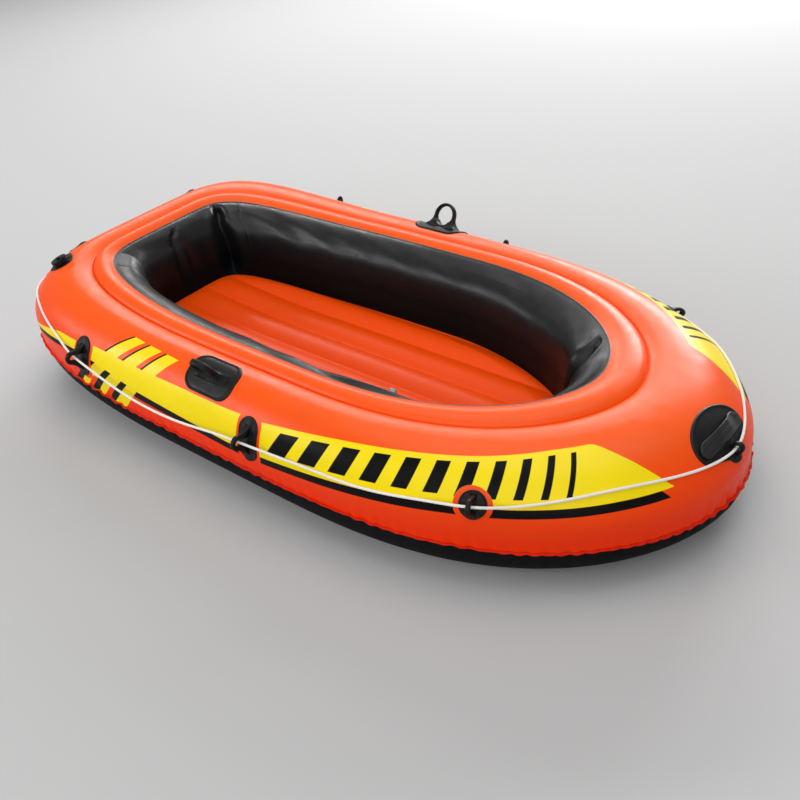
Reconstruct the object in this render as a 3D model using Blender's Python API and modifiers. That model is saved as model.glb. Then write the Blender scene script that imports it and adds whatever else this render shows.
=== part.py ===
"""Two-person inflatable boat, built from welded sheets and moulded fittings.

Metres, +X to the bow, +Y to port, +Z up. The origin lies on the ground under the middle of the hull.
The hull is a ring of air chambers between a top skin, a bottom skin and a cockpit wall. Rings of points
go round the boat from the bow tip over the port side and the stern back to the bow. Every sheet is a
grid of such rings, and every fitting stands on the grid of the sheet that carries it.
"""

import math

import bmesh
import bpy
import numpy as np
from mathutils import Matrix, Vector

# Plan of the hull
HULL_LENGTH = 1.96
HULL_BEAM = 1.02
WIDEST_X = 0.087
BOW_TUBE_WIDTH = 0.328
STERN_TUBE_WIDTH = 0.175
SIDE_TUBE_WIDTH = 0.194
BOW_WALL_INSET = 0.098
STERN_WALL_INSET = 0.063
SIDE_WALL_INSET = 0.084
OUTER_BOW_POWER = 2.745
OUTER_BOW_SIDE_POWER = 1.825
OUTER_STERN_POWER = 5.53
OUTER_STERN_SIDE_POWER = 5.66
RIM_BOW_POWER = 2.36
RIM_STERN_POWER = 2.69
FLOOR_BOW_POWER = 1.77
FLOOR_STERN_POWER = 2.36
INNER_BOW_SIDE_POWER = 1.86
INNER_STERN_SIDE_POWER = 5.97

# Heights of the hull's section
SEAM_HEIGHT = 0.111
WIDEST_HEIGHT = 0.163
OUTER_CREST_HEIGHT = 0.287
CREASE_HEIGHT = 0.272
INNER_CREST_HEIGHT = 0.294
RIM_HEIGHT = 0.283
FLOOR_HEIGHT = 0.081
STERN_RISE = 0.06
RISE_START_X = -0.3

# Shares of the tube's width, from its outer side to the rim
OUTER_CREST_SHARE = 0.53
CREASE_SHARE = 0.732
INNER_CREST_SHARE = 0.87
BILGE_SHARE = 0.6
OUTER_LOBE_POWER = 1.76
BILGE_POWER = 2.3
SHOULDER_POWER = 0.8

# Sheets and welds
SKIN = 0.0004
GAP = 0.0003
SEAM_FLANGE = 0.006
SEAM_DROOP = 0.003
RIM_FLANGE_SHARE = 0.04
QUARTER_STATIONS = 12
BEND_WEIGHT = 0.25
CURVE_SAMPLES = 4001
LOBE_STEPS = 7
SHOULDER_STEPS = 3
INNER_LOBE_STEPS = 3
BILGE_STEPS = 5

# Cockpit wall: shares of the way in from the rim to the floor's edge, and heights
WALL_TOP_SHARE = 0.33
WALL_TOP_DROP = 0.011
WALL_SHOULDER_SHARE = 0.65
WALL_SHOULDER_HEIGHT = 0.245
WALL_SIDE_SHARE = 0.88
WALL_SIDE_HEIGHT = 0.205
WALL_LOW_HEIGHT = 0.16
WALL_BULGE_SHARE = 1.03
WALL_BULGE_HEIGHT = 0.12

# Floor
FLOOR_CHANNELS = 5
FLOOR_EDGE_WIDTH = 0.007
CHANNEL_RISE = 0.015
CHANNEL_STEPS = 4
FLOOR_LINES = 13
FLOOR_FADE = 0.3
FLOOR_MARGIN = 0.01
WEB_END_CLEARANCE = 0.05

# Oarlocks
OARLOCK_X = -0.11
OARLOCK_SHARE = 0.34
OARLOCK_PAD_LENGTH = 0.158
OARLOCK_PAD_WIDTH = 0.095
OARLOCK_PAD_RADIUS = 0.035
OARLOCK_EYE_HEIGHT = 0.034
OARLOCK_EYE_HALF_LENGTH = 0.023
OARLOCK_EYE_HALF_HEIGHT = 0.026
OARLOCK_EYE_WALL = 0.009
OARLOCK_FOOT_HALF = 0.055
OARLOCK_THICKNESS = 0.014

# Rope guides
AFT_GUIDE_X = -0.58
MID_GUIDE_X = 0.053
FORE_GUIDE_X = 0.617
STERN_GUIDE_Y = 0.21
SIDE_GUIDE_HEIGHT = 0.195
FORE_GUIDE_HEIGHT = 0.212
STERN_GUIDE_HEIGHT = 0.225
GUIDE_PAD_WIDTH = 0.059
GUIDE_PAD_TALL = 0.107
GUIDE_EYE_HEIGHT = 0.025
GUIDE_EYE_RADIUS = 0.009
GUIDE_EYE_WALL = 0.006
GUIDE_FOOT_HALF = 0.036
ROUND_FOOT_HALF = 0.024
GUIDE_THICKNESS = 0.009
PAD_THICKNESS = 0.0016
EYE_ROOT = 0.011
FLARE_POWER = 2.4
PAD_STEPS = 4
EYE_STEPS = 9

# Bow handle
HANDLE_HEIGHT = 0.232
HANDLE_HALF_WIDTH = 0.085
HANDLE_TOP = 0.054
HANDLE_LOBE_DROP = 0.056
HANDLE_LOBE_HALF = 0.022
HANDLE_EYE_DROP = 0.026
HANDLE_EYE_HEIGHT = 0.016
GRIP_HALF_LENGTH = 0.07
GRIP_LOW = -0.008
GRIP_HIGH = 0.026
GRIP_LIFT = 0.018
GRIP_THICKNESS = 0.004
GRIP_WELD = 0.014
GRIP_STEEPNESS = 2.2
GRIP_STEPS = 10

# Grab rope
ROPE_RADIUS = 0.003
ROPE_CLEARANCE = 0.0008
ROPE_SIDES_RESOLUTION = 2
ROPE_POINT_SPACING = 0.3
ROPE_FALL_AWAY = 0.11
ROPE_STERN_HEIGHT = 0.215
ROPE_CORNER_X = -0.85
ROPE_CORNER_HEIGHT = 0.222
ROPE_SAG_X = -0.27
ROPE_SAG_HEIGHT = 0.166
ROPE_LEVEL_X = 0.33
ROPE_BOW_X = 0.84
ROPE_BOW_HEIGHT = 0.231
KNOT_SPREAD = 0.0036
KNOT_DEPTH = 0.0044
KNOT_POINTS = 30

# Main valve
VALVE_Y = -0.315
VALVE_SHARE = 0.33
VALVE_FLANGE_RADIUS = 0.036
VALVE_NECK_RADIUS = 0.021
VALVE_BORE_RADIUS = 0.0165
VALVE_NECK_HEIGHT = 0.008
VALVE_NECK_DEPTH = 0.008
VALVE_BODY_DEPTH = 0.012
VALVE_LIP_RADIUS = 0.0195
VALVE_LIP_HEIGHT = 0.002
VALVE_PORT_RADIUS = 0.011
VALVE_FLAP_RADIUS = 0.014
VALVE_FLAP_THICKNESS = 0.001
VALVE_CAP_RADIUS = 0.0235
VALVE_CAP_TOP = 0.0025
VALVE_CAP_SKIRT = 0.005
VALVE_BUTTON_RADIUS = 0.004
VALVE_BUTTON_HEIGHT = 0.005
VALVE_BUTTON_HEAD = 0.0055
VALVE_BUTTON_HEAD_HEIGHT = 0.0012
TETHER_THICKNESS = 0.001
TETHER_RING_THICKNESS = 0.0016
TETHER_WIDTH = 0.008
TETHER_RING_WALL = 0.003
TETHER_REACH = 0.046
TETHER_STEPS = 6

# Push-in valves of the inner chamber and of the floor
STEM_RADIUS = 0.008
STEM_BORE_RADIUS = 0.005
STEM_HEIGHT = 0.015
STEM_DEPTH = 0.012
STEM_FLANGE_RADIUS = 0.02
PLUG_HEAD_RADIUS = 0.009
PLUG_HEAD_HEIGHT = 0.003
PLUG_LENGTH = 0.011
INNER_VALVE_X = 0.25
INNER_VALVE_HEIGHT = 0.221
FLOOR_VALVE_X = 0.12

# Construction: sides of round pieces, steps in stations and rows, and how far the cutters reach
ROUND_SIDES = 24
SMALL_SIDES = 16
SLOPE_STEP = 0.3
FITTING_STATIONS = 2
TOOL_DEPTH = 0.06
UNDER_PAD_DEPTH = 0.01
WELD_DISTANCE = 0.00001
TURN_MERGE = 0.00005

STATIONS = 4 * QUARTER_STATIONS
STERN_STATION = 2 * QUARTER_STATIONS
STERN_RISE_RUN = HULL_LENGTH / 2 + RISE_START_X


# Scene, materials and objects

def clear_scene():
    for item in list(bpy.data.objects):
        bpy.data.objects.remove(item, do_unlink=True)


def new_collection(name):
    made = bpy.data.collections.new(name)
    bpy.context.scene.collection.children.link(made)
    return made


clear_scene()
PARTS = new_collection("inflatable_boat")
CUTTERS = new_collection("cutters")


def plain_material(name, colour, roughness):
    made = bpy.data.materials.new(name)
    made.use_nodes = True
    shader = made.node_tree.nodes["Principled BSDF"]
    shader.inputs["Base Color"].default_value = (*colour, 1.0)
    shader.inputs["Roughness"].default_value = roughness
    shader.inputs["Metallic"].default_value = 0.0
    return made


ORANGE = (0.95, 0.13, 0.02)
FLOOR_ORANGE = (0.95, 0.09, 0.01)
BLACK = (0.03, 0.03, 0.032)
MOULDED_BLACK = (0.02, 0.02, 0.022)
ROPE_WHITE = (0.82, 0.79, 0.75)
CLEAR_GREY = (0.55, 0.56, 0.57)


def add_object(name, mesh, colour=None, roughness=0.4, matrix=None):
    """A part when it has a colour, otherwise a cutter that the render leaves out."""
    made = bpy.data.objects.new(name, mesh)
    if matrix is not None:
        made.matrix_world = matrix
    if colour is None:
        CUTTERS.objects.link(made)
        made.hide_render = True
        made.display_type = "WIRE"
        return made
    PARTS.objects.link(made)
    made.data.materials.append(plain_material(name, colour, roughness))
    return made


def shade_round(item, degrees=35.0):
    item.data.shade_smooth()
    item.data.set_sharp_from_angle(angle=math.radians(degrees))


def combine(target, operand, operation):
    step = target.modifiers.new(operation.lower(), "BOOLEAN")
    step.operation = operation
    step.object = operand
    step.solver = "EXACT"


# Plan curves and stations

def quarter_samples(length, half_width, end_power, side_power):
    angle = np.linspace(0.0, math.pi / 2, CURVE_SAMPLES)
    x = length * np.cos(angle).clip(0.0) ** (2 / end_power)
    y = half_width * np.sin(angle) ** (2 / side_power)
    arc = np.concatenate([[0.0], np.cumsum(np.hypot(np.diff(x), np.diff(y)))])
    return x, y, arc / arc[-1], arc[-1]


def station_shares(length, half_width, end_power, side_power):
    """Shares of a quarter's arc length for its stations, closer together where the outline bends."""
    x, y, share, total = quarter_samples(length, half_width, end_power, side_power)
    heading = np.unwrap(np.arctan2(np.diff(y), np.diff(x)))
    turned = np.concatenate([[0.0, 0.0], np.cumsum(np.abs(np.diff(heading)))])
    weight = share * total + BEND_WEIGHT * turned
    steps = np.linspace(0.0, weight[-1], QUARTER_STATIONS + 1)
    return np.interp(steps, weight, share)


BOW_SHARES = station_shares(
    HULL_LENGTH / 2 - WIDEST_X, HULL_BEAM / 2, OUTER_BOW_POWER, OUTER_BOW_SIDE_POWER
)
STERN_SHARES = station_shares(
    HULL_LENGTH / 2 + WIDEST_X, HULL_BEAM / 2, OUTER_STERN_POWER, OUTER_STERN_SIDE_POWER
)


def plan_ring(bow_x, stern_x, half_width, bow_powers, stern_powers):
    """A closed plan outline with one point at each station."""
    x, y, share, _ = quarter_samples(bow_x - WIDEST_X, half_width, *bow_powers)
    bow = [(WIDEST_X + np.interp(s, share, x), np.interp(s, share, y)) for s in BOW_SHARES]
    x, y, share, _ = quarter_samples(WIDEST_X - stern_x, half_width, *stern_powers)
    stern = [(WIDEST_X - np.interp(s, share, x), np.interp(s, share, y)) for s in STERN_SHARES]
    port = bow + stern[-2::-1]
    starboard = [(px, -py) for px, py in port[-2:0:-1]]
    return [Vector((float(px), float(py), 0.0)) for px, py in port + starboard]


RIM_BOW_X = HULL_LENGTH / 2 - BOW_TUBE_WIDTH
RIM_STERN_X = -HULL_LENGTH / 2 + STERN_TUBE_WIDTH
RIM_HALF_WIDTH = HULL_BEAM / 2 - SIDE_TUBE_WIDTH
FLOOR_BOW_X = RIM_BOW_X - BOW_WALL_INSET
FLOOR_STERN_X = RIM_STERN_X + STERN_WALL_INSET
FLOOR_HALF_WIDTH = RIM_HALF_WIDTH - SIDE_WALL_INSET
CHANNEL_PITCH = 2 * (FLOOR_HALF_WIDTH - FLOOR_EDGE_WIDTH) / FLOOR_CHANNELS

OUTER_RING = plan_ring(
    HULL_LENGTH / 2,
    -HULL_LENGTH / 2,
    HULL_BEAM / 2,
    (OUTER_BOW_POWER, OUTER_BOW_SIDE_POWER),
    (OUTER_STERN_POWER, OUTER_STERN_SIDE_POWER),
)
RIM_RING = plan_ring(
    RIM_BOW_X,
    RIM_STERN_X,
    RIM_HALF_WIDTH,
    (RIM_BOW_POWER, INNER_BOW_SIDE_POWER),
    (RIM_STERN_POWER, INNER_STERN_SIDE_POWER),
)
FLOOR_RING = plan_ring(
    FLOOR_BOW_X,
    FLOOR_STERN_X,
    FLOOR_HALF_WIDTH,
    (FLOOR_BOW_POWER, INNER_BOW_SIDE_POWER),
    (FLOOR_STERN_POWER, INNER_STERN_SIDE_POWER),
)


def rise(x):
    """How much the raised stern lifts everything at a distance along the boat."""
    behind = max(0.0, RISE_START_X - x)
    return STERN_RISE * (behind / STERN_RISE_RUN) ** 2


def ring_between(start, end, share, height, outward=0.0):
    """A ring at a share of the way from one ring to another, pushed outward and lifted."""
    ring = []
    for a, b in zip(start, end, strict=True):
        point = a.lerp(b, share) + (a - b).normalized() * outward
        ring.append(Vector((point.x, point.y, height + rise(point.x))))
    return ring


# Section of the hull: each entry is a share of the tube's width, a push outward and a height

def lobe_steps(count):
    return [math.pi / 2 * step / count for step in range(count + 1)]


def top_section():
    points = [(0.0, SEAM_FLANGE, SEAM_HEIGHT - SEAM_DROOP), (0.0, 0.0, SEAM_HEIGHT)]
    for angle in lobe_steps(LOBE_STEPS):
        share = OUTER_CREST_SHARE * (1 - max(math.cos(angle), 0.0) ** (2 / OUTER_LOBE_POWER))
        climb = math.sin(angle) ** (2 / OUTER_LOBE_POWER)
        points.append((share, 0.0, WIDEST_HEIGHT + (OUTER_CREST_HEIGHT - WIDEST_HEIGHT) * climb))
    for angle in lobe_steps(SHOULDER_STEPS)[1:]:
        share = OUTER_CREST_SHARE
        share += (CREASE_SHARE - OUTER_CREST_SHARE) * math.sin(angle) ** SHOULDER_POWER
        climb = max(math.cos(angle), 0.0) ** SHOULDER_POWER
        points.append((share, 0.0, CREASE_HEIGHT + (OUTER_CREST_HEIGHT - CREASE_HEIGHT) * climb))
    for angle in lobe_steps(INNER_LOBE_STEPS)[1:]:
        share = INNER_CREST_SHARE - (INNER_CREST_SHARE - CREASE_SHARE) * math.cos(angle)
        climb = math.sin(angle)
        points.append((share, 0.0, CREASE_HEIGHT + (INNER_CREST_HEIGHT - CREASE_HEIGHT) * climb))
    points.append((1 - RIM_FLANGE_SHARE, 0.0, (INNER_CREST_HEIGHT + RIM_HEIGHT) / 2))
    points.append((1.0, 0.0, RIM_HEIGHT))
    return points


def bottom_rows():
    """Rows of the bottom skin, from the floor's edge out and up to the seam."""
    rows = [ring_between(FLOOR_RING, RIM_RING, 0.0, 0.0), ring_between(OUTER_RING, RIM_RING, 1.0, 0.0)]
    rows.append(ring_between(OUTER_RING, RIM_RING, CREASE_SHARE, 0.0))
    low_seam = SEAM_HEIGHT - 2 * SKIN - GAP
    for angle in reversed(lobe_steps(BILGE_STEPS)):
        share = BILGE_SHARE * (1 - max(math.cos(angle), 0.0) ** (2 / BILGE_POWER))
        drop = math.sin(angle) ** (2 / BILGE_POWER)
        rows.append(ring_between(OUTER_RING, RIM_RING, share, low_seam * (1 - drop)))
    rows.append(ring_between(OUTER_RING, RIM_RING, 0.0, low_seam - SEAM_DROOP, SEAM_FLANGE))
    return rows


def wall_rows():
    """Rows of the cockpit wall, from its weld under the rim down to the bottom skin."""
    weld = SKIN + GAP
    flange_height = (INNER_CREST_HEIGHT + RIM_HEIGHT) / 2 - weld
    rows = [
        ring_between(OUTER_RING, RIM_RING, 1 - RIM_FLANGE_SHARE, flange_height),
        ring_between(OUTER_RING, RIM_RING, 1.0, RIM_HEIGHT - weld),
    ]
    profile = [
        (WALL_TOP_SHARE, RIM_HEIGHT - WALL_TOP_DROP),
        (WALL_SHOULDER_SHARE, WALL_SHOULDER_HEIGHT),
        (WALL_SIDE_SHARE, WALL_SIDE_HEIGHT),
        (1.0, WALL_LOW_HEIGHT),
        (WALL_BULGE_SHARE, WALL_BULGE_HEIGHT),
        (1.0, FLOOR_HEIGHT + CHANNEL_RISE),
        (1.0, weld),
    ]
    for share, height in profile:
        rows.append(ring_between(RIM_RING, FLOOR_RING, share, height))
    return rows


TOP_SECTION = top_section()
TOP_ROWS = [ring_between(OUTER_RING, RIM_RING, share, height, push) for share, push, height in TOP_SECTION]
WALL_ROWS = wall_rows()
LOBE_END_ROW = 2 + LOBE_STEPS


def row_at_height(height):
    """Row number on the outer lobe at a height of the section."""
    heights = [point[2] for point in TOP_SECTION[1:LOBE_END_ROW + 1]]
    return 1 + float(np.interp(height, heights, range(len(heights))))


def row_at_share(share):
    """Row number on the outer lobe at a share of the tube's width."""
    shares = [point[0] for point in TOP_SECTION[2:LOBE_END_ROW + 1]]
    return 2 + float(np.interp(share, shares, range(len(shares))))


# Places on a grid of rows

def splits_first_to_third(corners):
    """Whether a four-sided face folds outward along the line from its first corner to its third."""
    a, b, c, d = corners
    outward = (c - a).cross(d - b)
    return ((a + c) - (b + d)).dot(outward) >= 0.0


def grid_point(rows, row, station):
    """The point of a folded grid at fractions of a row and of a station."""
    low_row = max(0, min(int(row), len(rows) - 2))
    low_station = math.floor(station)
    across = station - low_station
    up = row - low_row
    first, second = low_station % STATIONS, (low_station + 1) % STATIONS
    low, high = rows[low_row], rows[low_row + 1]
    a, b, c, d = low[first], low[second], high[second], high[first]
    if splits_first_to_third((a, b, c, d)):
        if across >= up:
            return a + (b - a) * across + (c - b) * up
        return a + (d - a) * up + (c - d) * across
    if across + up <= 1.0:
        return a + (b - a) * across + (d - a) * up
    return c + (d - c) * (1.0 - across) + (b - c) * (1.0 - up)


def grid_frame(rows, row, station):
    """A frame on a grid: X along the boat's outline, Y up the section, Z out of the sheet."""
    along = grid_point(rows, row, station + SLOPE_STEP) - grid_point(rows, row, station - SLOPE_STEP)
    upward = grid_point(rows, row + SLOPE_STEP, station) - grid_point(rows, row - SLOPE_STEP, station)
    along.normalize()
    normal = along.cross(upward).normalized()
    axes = Matrix((along, normal.cross(along), normal)).transposed().to_4x4()
    return Matrix.Translation(grid_point(rows, row, station)) @ axes


def station_where(rows, row, axis, value, first, last):
    """The station between two others at which a row has a coordinate."""
    stations = list(range(first, last + 1))
    places = [grid_point(rows, row, station)[axis] for station in stations]
    if places[0] > places[-1]:
        stations.reverse()
        places.reverse()
    return float(np.interp(value, places, stations))


def side_station(rows, row, x, side):
    """The station at a distance along the boat, on port with side 1 and on starboard with side -1."""
    if side > 0:
        return station_where(rows, row, 0, x, 0, STERN_STATION)
    return station_where(rows, row, 0, x, STERN_STATION, STATIONS)


def stern_station(rows, row, y):
    """The station on the stern quarter at a distance off the middle."""
    if y > 0:
        return station_where(rows, row, 1, y, QUARTER_STATIONS, STERN_STATION)
    return station_where(rows, row, 1, y, STERN_STATION, STERN_STATION + QUARTER_STATIONS)


# Sheets

def grid_mesh(name, rows, closed=True):
    """A sheet between rows of points, each four-sided face folded outward into two triangles."""
    mesh = bpy.data.meshes.new(name)
    count = len(rows[0])
    points = [point for row in rows for point in row]
    faces = []
    for row in range(len(rows) - 1):
        for station in range(count if closed else count - 1):
            following = (station + 1) % count
            low, high = row * count, (row + 1) * count
            a, b, c, d = low + station, low + following, high + following, high + station
            if splits_first_to_third([points[corner] for corner in (a, b, c, d)]):
                faces += [(a, b, c), (a, c, d)]
            else:
                faces += [(a, b, d), (b, c, d)]
    mesh.from_pydata([tuple(point) for point in points], [], faces)
    return mesh


def thicken(item, thickness, offset=-1.0):
    step = item.modifiers.new("thickness", "SOLIDIFY")
    step.thickness = thickness
    step.offset = offset


def sheet(name, rows, colour, roughness=0.4, closed=True, offset=-1.0):
    made = add_object(name, grid_mesh(name, rows, closed), colour, roughness)
    made.data.shade_smooth()
    thicken(made, SKIN, offset)
    return made


def layer_over(name, rows, station, low, high):
    """The space between two heights over a part of a sheet, as a cutter."""
    first = math.floor(station) - FITTING_STATIONS
    last = math.floor(station) + FITTING_STATIONS + 1
    kept = [[row[place % STATIONS] for place in range(first, last + 1)] for row in rows]
    made = add_object(name, grid_mesh(name, kept, closed=False))
    thicken(made, high - low, (high + low) / (high - low))
    return made


# Flat outlines, discs and turned shapes

def flat_shape(name, outlines, thickness):
    """The mesh of closed outlines in the XY plane, thickened both ways along Z."""
    curve = bpy.data.curves.new(name, "CURVE")
    curve.dimensions = "2D"
    curve.fill_mode = "BOTH"
    curve.extrude = thickness / 2
    for outline in outlines:
        spline = curve.splines.new("POLY")
        spline.points.add(len(outline) - 1)
        for point, (x, y) in zip(spline.points, outline, strict=True):
            point.co = (x, y, 0.0, 1.0)
        spline.use_cyclic_u = True
    flat = bpy.data.objects.new(name, curve)
    CUTTERS.objects.link(flat)
    mesh = bpy.data.meshes.new_from_object(flat.evaluated_get(bpy.context.evaluated_depsgraph_get()))
    bpy.data.objects.remove(flat, do_unlink=True)
    welded = bmesh.new()
    welded.from_mesh(mesh)
    bmesh.ops.remove_doubles(welded, verts=welded.verts, dist=WELD_DISTANCE)
    bmesh.ops.recalc_face_normals(welded, faces=welded.faces)
    welded.to_mesh(mesh)
    welded.free()
    mesh.name = name
    return mesh


def flat_tool(name, outlines, thickness, matrix):
    return add_object(name, flat_shape(name, outlines, thickness), matrix=matrix)


def arc(centre_x, centre_y, radius_x, radius_y, start, end, steps):
    points = []
    for step in range(steps + 1):
        angle = math.radians(start + (end - start) * step / steps)
        points.append((centre_x + radius_x * math.cos(angle), centre_y + radius_y * math.sin(angle)))
    return points


def rounded_outline(length, width, radius):
    """A rectangle with round corners, or a capsule where the radius is half the width."""
    inset_x = length / 2 - radius
    inset_y = width / 2 - radius
    points = []
    for sign_x, sign_y, start in ((1, 1, 0), (-1, 1, 90), (-1, -1, 180), (1, -1, 270)):
        points += arc(sign_x * inset_x, sign_y * inset_y, radius, radius, start, start + 90, PAD_STEPS)
    return points


def eye_outlines(height, half_x, half_y, wall, foot_half):
    """An upright eye with feet that flare out, and its hole, with its foot along X."""
    crown = arc(0.0, height, half_x + wall, half_y + wall, 0, 180, EYE_STEPS)
    flare_start = half_x + wall
    flare = []
    for step in range(1, PAD_STEPS + 1):
        share = step / PAD_STEPS
        spread = flare_start + (foot_half - flare_start) * share ** FLARE_POWER
        flare.append((spread, height * (1 - share)))
    flare.append((foot_half, -EYE_ROOT))
    left = [(-x, y) for x, y in flare]
    outer = crown + left + list(reversed(flare))
    hole = arc(0.0, height, half_x, half_y, 0, 360, 2 * EYE_STEPS)[:-1]
    return [outer, hole]


def round_solid(name, radius, low, high, matrix, sides=ROUND_SIDES, colour=None, roughness=0.4):
    """A round solid between two heights of a frame, as a cutter unless it has a colour."""
    mesh = bpy.data.meshes.new(name)
    shape = bmesh.new()
    middle = Matrix.Translation((0.0, 0.0, (low + high) / 2))
    bmesh.ops.create_cone(
        shape,
        cap_ends=True,
        segments=sides,
        radius1=radius,
        radius2=radius,
        depth=high - low,
        matrix=middle,
    )
    shape.to_mesh(mesh)
    shape.free()
    made = add_object(name, mesh, colour, roughness, matrix)
    if colour is not None:
        shade_round(made)
    return made


def turned_solid(name, profile, matrix, colour, roughness=0.4, sides=SMALL_SIDES):
    """A profile of radius and height, turned about Z, from the axis or as a closed ring."""
    mesh = bpy.data.meshes.new(name)
    count = len(profile)
    closed = profile[0][0] > 0 and profile[-1][0] > 0
    edges = [(step, step + 1) for step in range(count - 1)]
    if closed:
        edges.append((count - 1, 0))
    mesh.from_pydata([(radius, 0.0, height) for radius, height in profile], edges, [])
    made = add_object(name, mesh, colour, roughness, matrix)
    turn = made.modifiers.new("turn", "SCREW")
    turn.steps = sides
    turn.render_steps = sides
    turn.use_merge_vertices = True
    turn.merge_threshold = TURN_MERGE
    turn.use_smooth_shade = True
    return made


# The hull's skins and the floor

PAD_LOW = GAP
PAD_HIGH = GAP + PAD_THICKNESS
EYE_SEAT = GAP + PAD_THICKNESS / 2
MOULDED = {"colour": MOULDED_BLACK, "roughness": 0.45}


def hull_skins():
    top = sheet("hull_top_skin", TOP_ROWS, ORANGE, 0.3)
    bottom = sheet("hull_bottom_skin", bottom_rows(), BLACK, 0.45)
    wall = sheet("cockpit_wall_skin", WALL_ROWS, BLACK, 0.35)
    crease = [ring_between(OUTER_RING, RIM_RING, CREASE_SHARE, SKIN + GAP)]
    crease.append(ring_between(OUTER_RING, RIM_RING, CREASE_SHARE, CREASE_HEIGHT - SKIN - 2 * GAP))
    divider = sheet("chamber_divider", crease, CLEAR_GREY, 0.5, offset=0.0)
    return top, bottom, wall, divider


def floor_level(x, y):
    """0 at the middle of the floor and 1 on its edge."""
    if x > WIDEST_X:
        run, powers = FLOOR_BOW_X - WIDEST_X, (FLOOR_BOW_POWER, INNER_BOW_SIDE_POWER)
    else:
        run, powers = WIDEST_X - FLOOR_STERN_X, (FLOOR_STERN_POWER, INNER_STERN_SIDE_POWER)
    return abs((x - WIDEST_X) / run) ** powers[0] + abs(y / FLOOR_HALF_WIDTH) ** powers[1]


def channel_middle(number):
    """How far off the boat's middle a channel runs, counted from starboard."""
    return (number - (FLOOR_CHANNELS - 1) / 2) * CHANNEL_PITCH


def channel_height(x, y):
    """Height of the floor's top sheet: rounded channels that fade out at the floor's edge."""
    fade = min(1.0, max(0.0, (1.0 - floor_level(x, y)) / FLOOR_FADE))
    crown = abs(math.cos(math.pi * (y - channel_middle(0)) / CHANNEL_PITCH))
    return FLOOR_HEIGHT + rise(x) + CHANNEL_RISE * fade * crown


FLOOR_FIRST_X = FLOOR_STERN_X - FLOOR_MARGIN
FLOOR_LAST_X = FLOOR_BOW_X + FLOOR_MARGIN
FLOOR_XS = [float(x) for x in np.linspace(FLOOR_FIRST_X, FLOOR_LAST_X, FLOOR_LINES)]


def channel_lines():
    """Distances off the middle of the floor's lines, with one on each ridge and each valley."""
    spacing = CHANNEL_PITCH / CHANNEL_STEPS
    count = math.ceil((FLOOR_HALF_WIDTH + FLOOR_MARGIN) / spacing)
    return [spacing * step for step in range(-count, count + 1)]


def floor_edge_tool(name):
    """A prism inside the floor's edge line, a gap away from the cockpit wall."""
    inner = []
    for rim, edge in zip(RIM_RING, FLOOR_RING, strict=True):
        point = edge + (edge - rim).normalized() * GAP
        inner.append((point.x, point.y))
    tall = 2 * RIM_HEIGHT
    return flat_tool(name, [inner], tall, Matrix.Identity(4))


def floor_rows():
    return [[Vector((x, y, channel_height(x, y))) for x in FLOOR_XS] for y in channel_lines()]


def floor_sheets():
    top = sheet("floor_top_sheet", floor_rows(), FLOOR_ORANGE, 0.35, closed=False)
    combine(top, floor_edge_tool("floor_top_edge"), "INTERSECT")
    lines = channel_lines()
    rows = [[Vector((x, y, rise(x))) for x in FLOOR_XS] for y in (lines[-1], lines[0])]
    bottom = sheet("floor_bottom_sheet", rows, BLACK, 0.45, closed=False)
    combine(bottom, floor_edge_tool("floor_bottom_edge"), "INTERSECT")
    return top, bottom


def floor_end(y, run, powers):
    return run * (1.0 - abs(y / FLOOR_HALF_WIDTH) ** powers[1]) ** (1 / powers[0])


def floor_webs():
    """Webs under the valleys, which hold the two floor sheets together."""
    middles = [channel_middle(number) for number in range(FLOOR_CHANNELS)]
    valleys = [(here + following) / 2 for here, following in zip(middles, middles[1:], strict=False)]
    low_heights = [rise(x) + SKIN + GAP for x in FLOOR_XS]
    high_heights = [FLOOR_HEIGHT + rise(x) - SKIN - 2 * GAP for x in FLOOR_XS]
    for number, y in enumerate(valleys, start=1):
        bow_run = floor_end(y, FLOOR_BOW_X - WIDEST_X, (FLOOR_BOW_POWER, INNER_BOW_SIDE_POWER))
        stern_run = floor_end(y, WIDEST_X - FLOOR_STERN_X, (FLOOR_STERN_POWER, INNER_STERN_SIDE_POWER))
        first = WIDEST_X - stern_run + WEB_END_CLEARANCE
        last = WIDEST_X + bow_run - WEB_END_CLEARANCE
        xs = [first] + [x for x in FLOOR_XS if first < x < last] + [last]
        rows = []
        for heights in (low_heights, high_heights):
            rows.append([Vector((x, y, float(np.interp(x, FLOOR_XS, heights)))) for x in xs])
        sheet(f"floor_web_{number}", rows, CLEAR_GREY, 0.5, closed=False, offset=0.0)


# Fittings on the hull

NORMAL_UP_SECTION = Matrix(((0, 0, 1, 0), (1, 0, 0, 0), (0, 1, 0, 0), (0, 0, 0, 1)))
NORMAL_ALONG_HULL = Matrix(((1, 0, 0, 0), (0, 0, -1, 0), (0, 1, 0, 0), (0, 0, 0, 1)))


def pad(name, frame, outline, layer, colour=MOULDED_BLACK, roughness=0.45):
    """A moulded patch that follows the sheet under it, cut to an outline."""
    made = add_object(name, flat_shape(name, [outline], TOOL_DEPTH), colour, roughness, frame)
    combine(made, layer, "INTERSECT")
    return made


def hull_pad(name, frame, outline, station):
    layer = layer_over(name + "_layer", TOP_ROWS, station, PAD_LOW, PAD_HIGH)
    return pad(name, frame, outline, layer)


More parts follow.
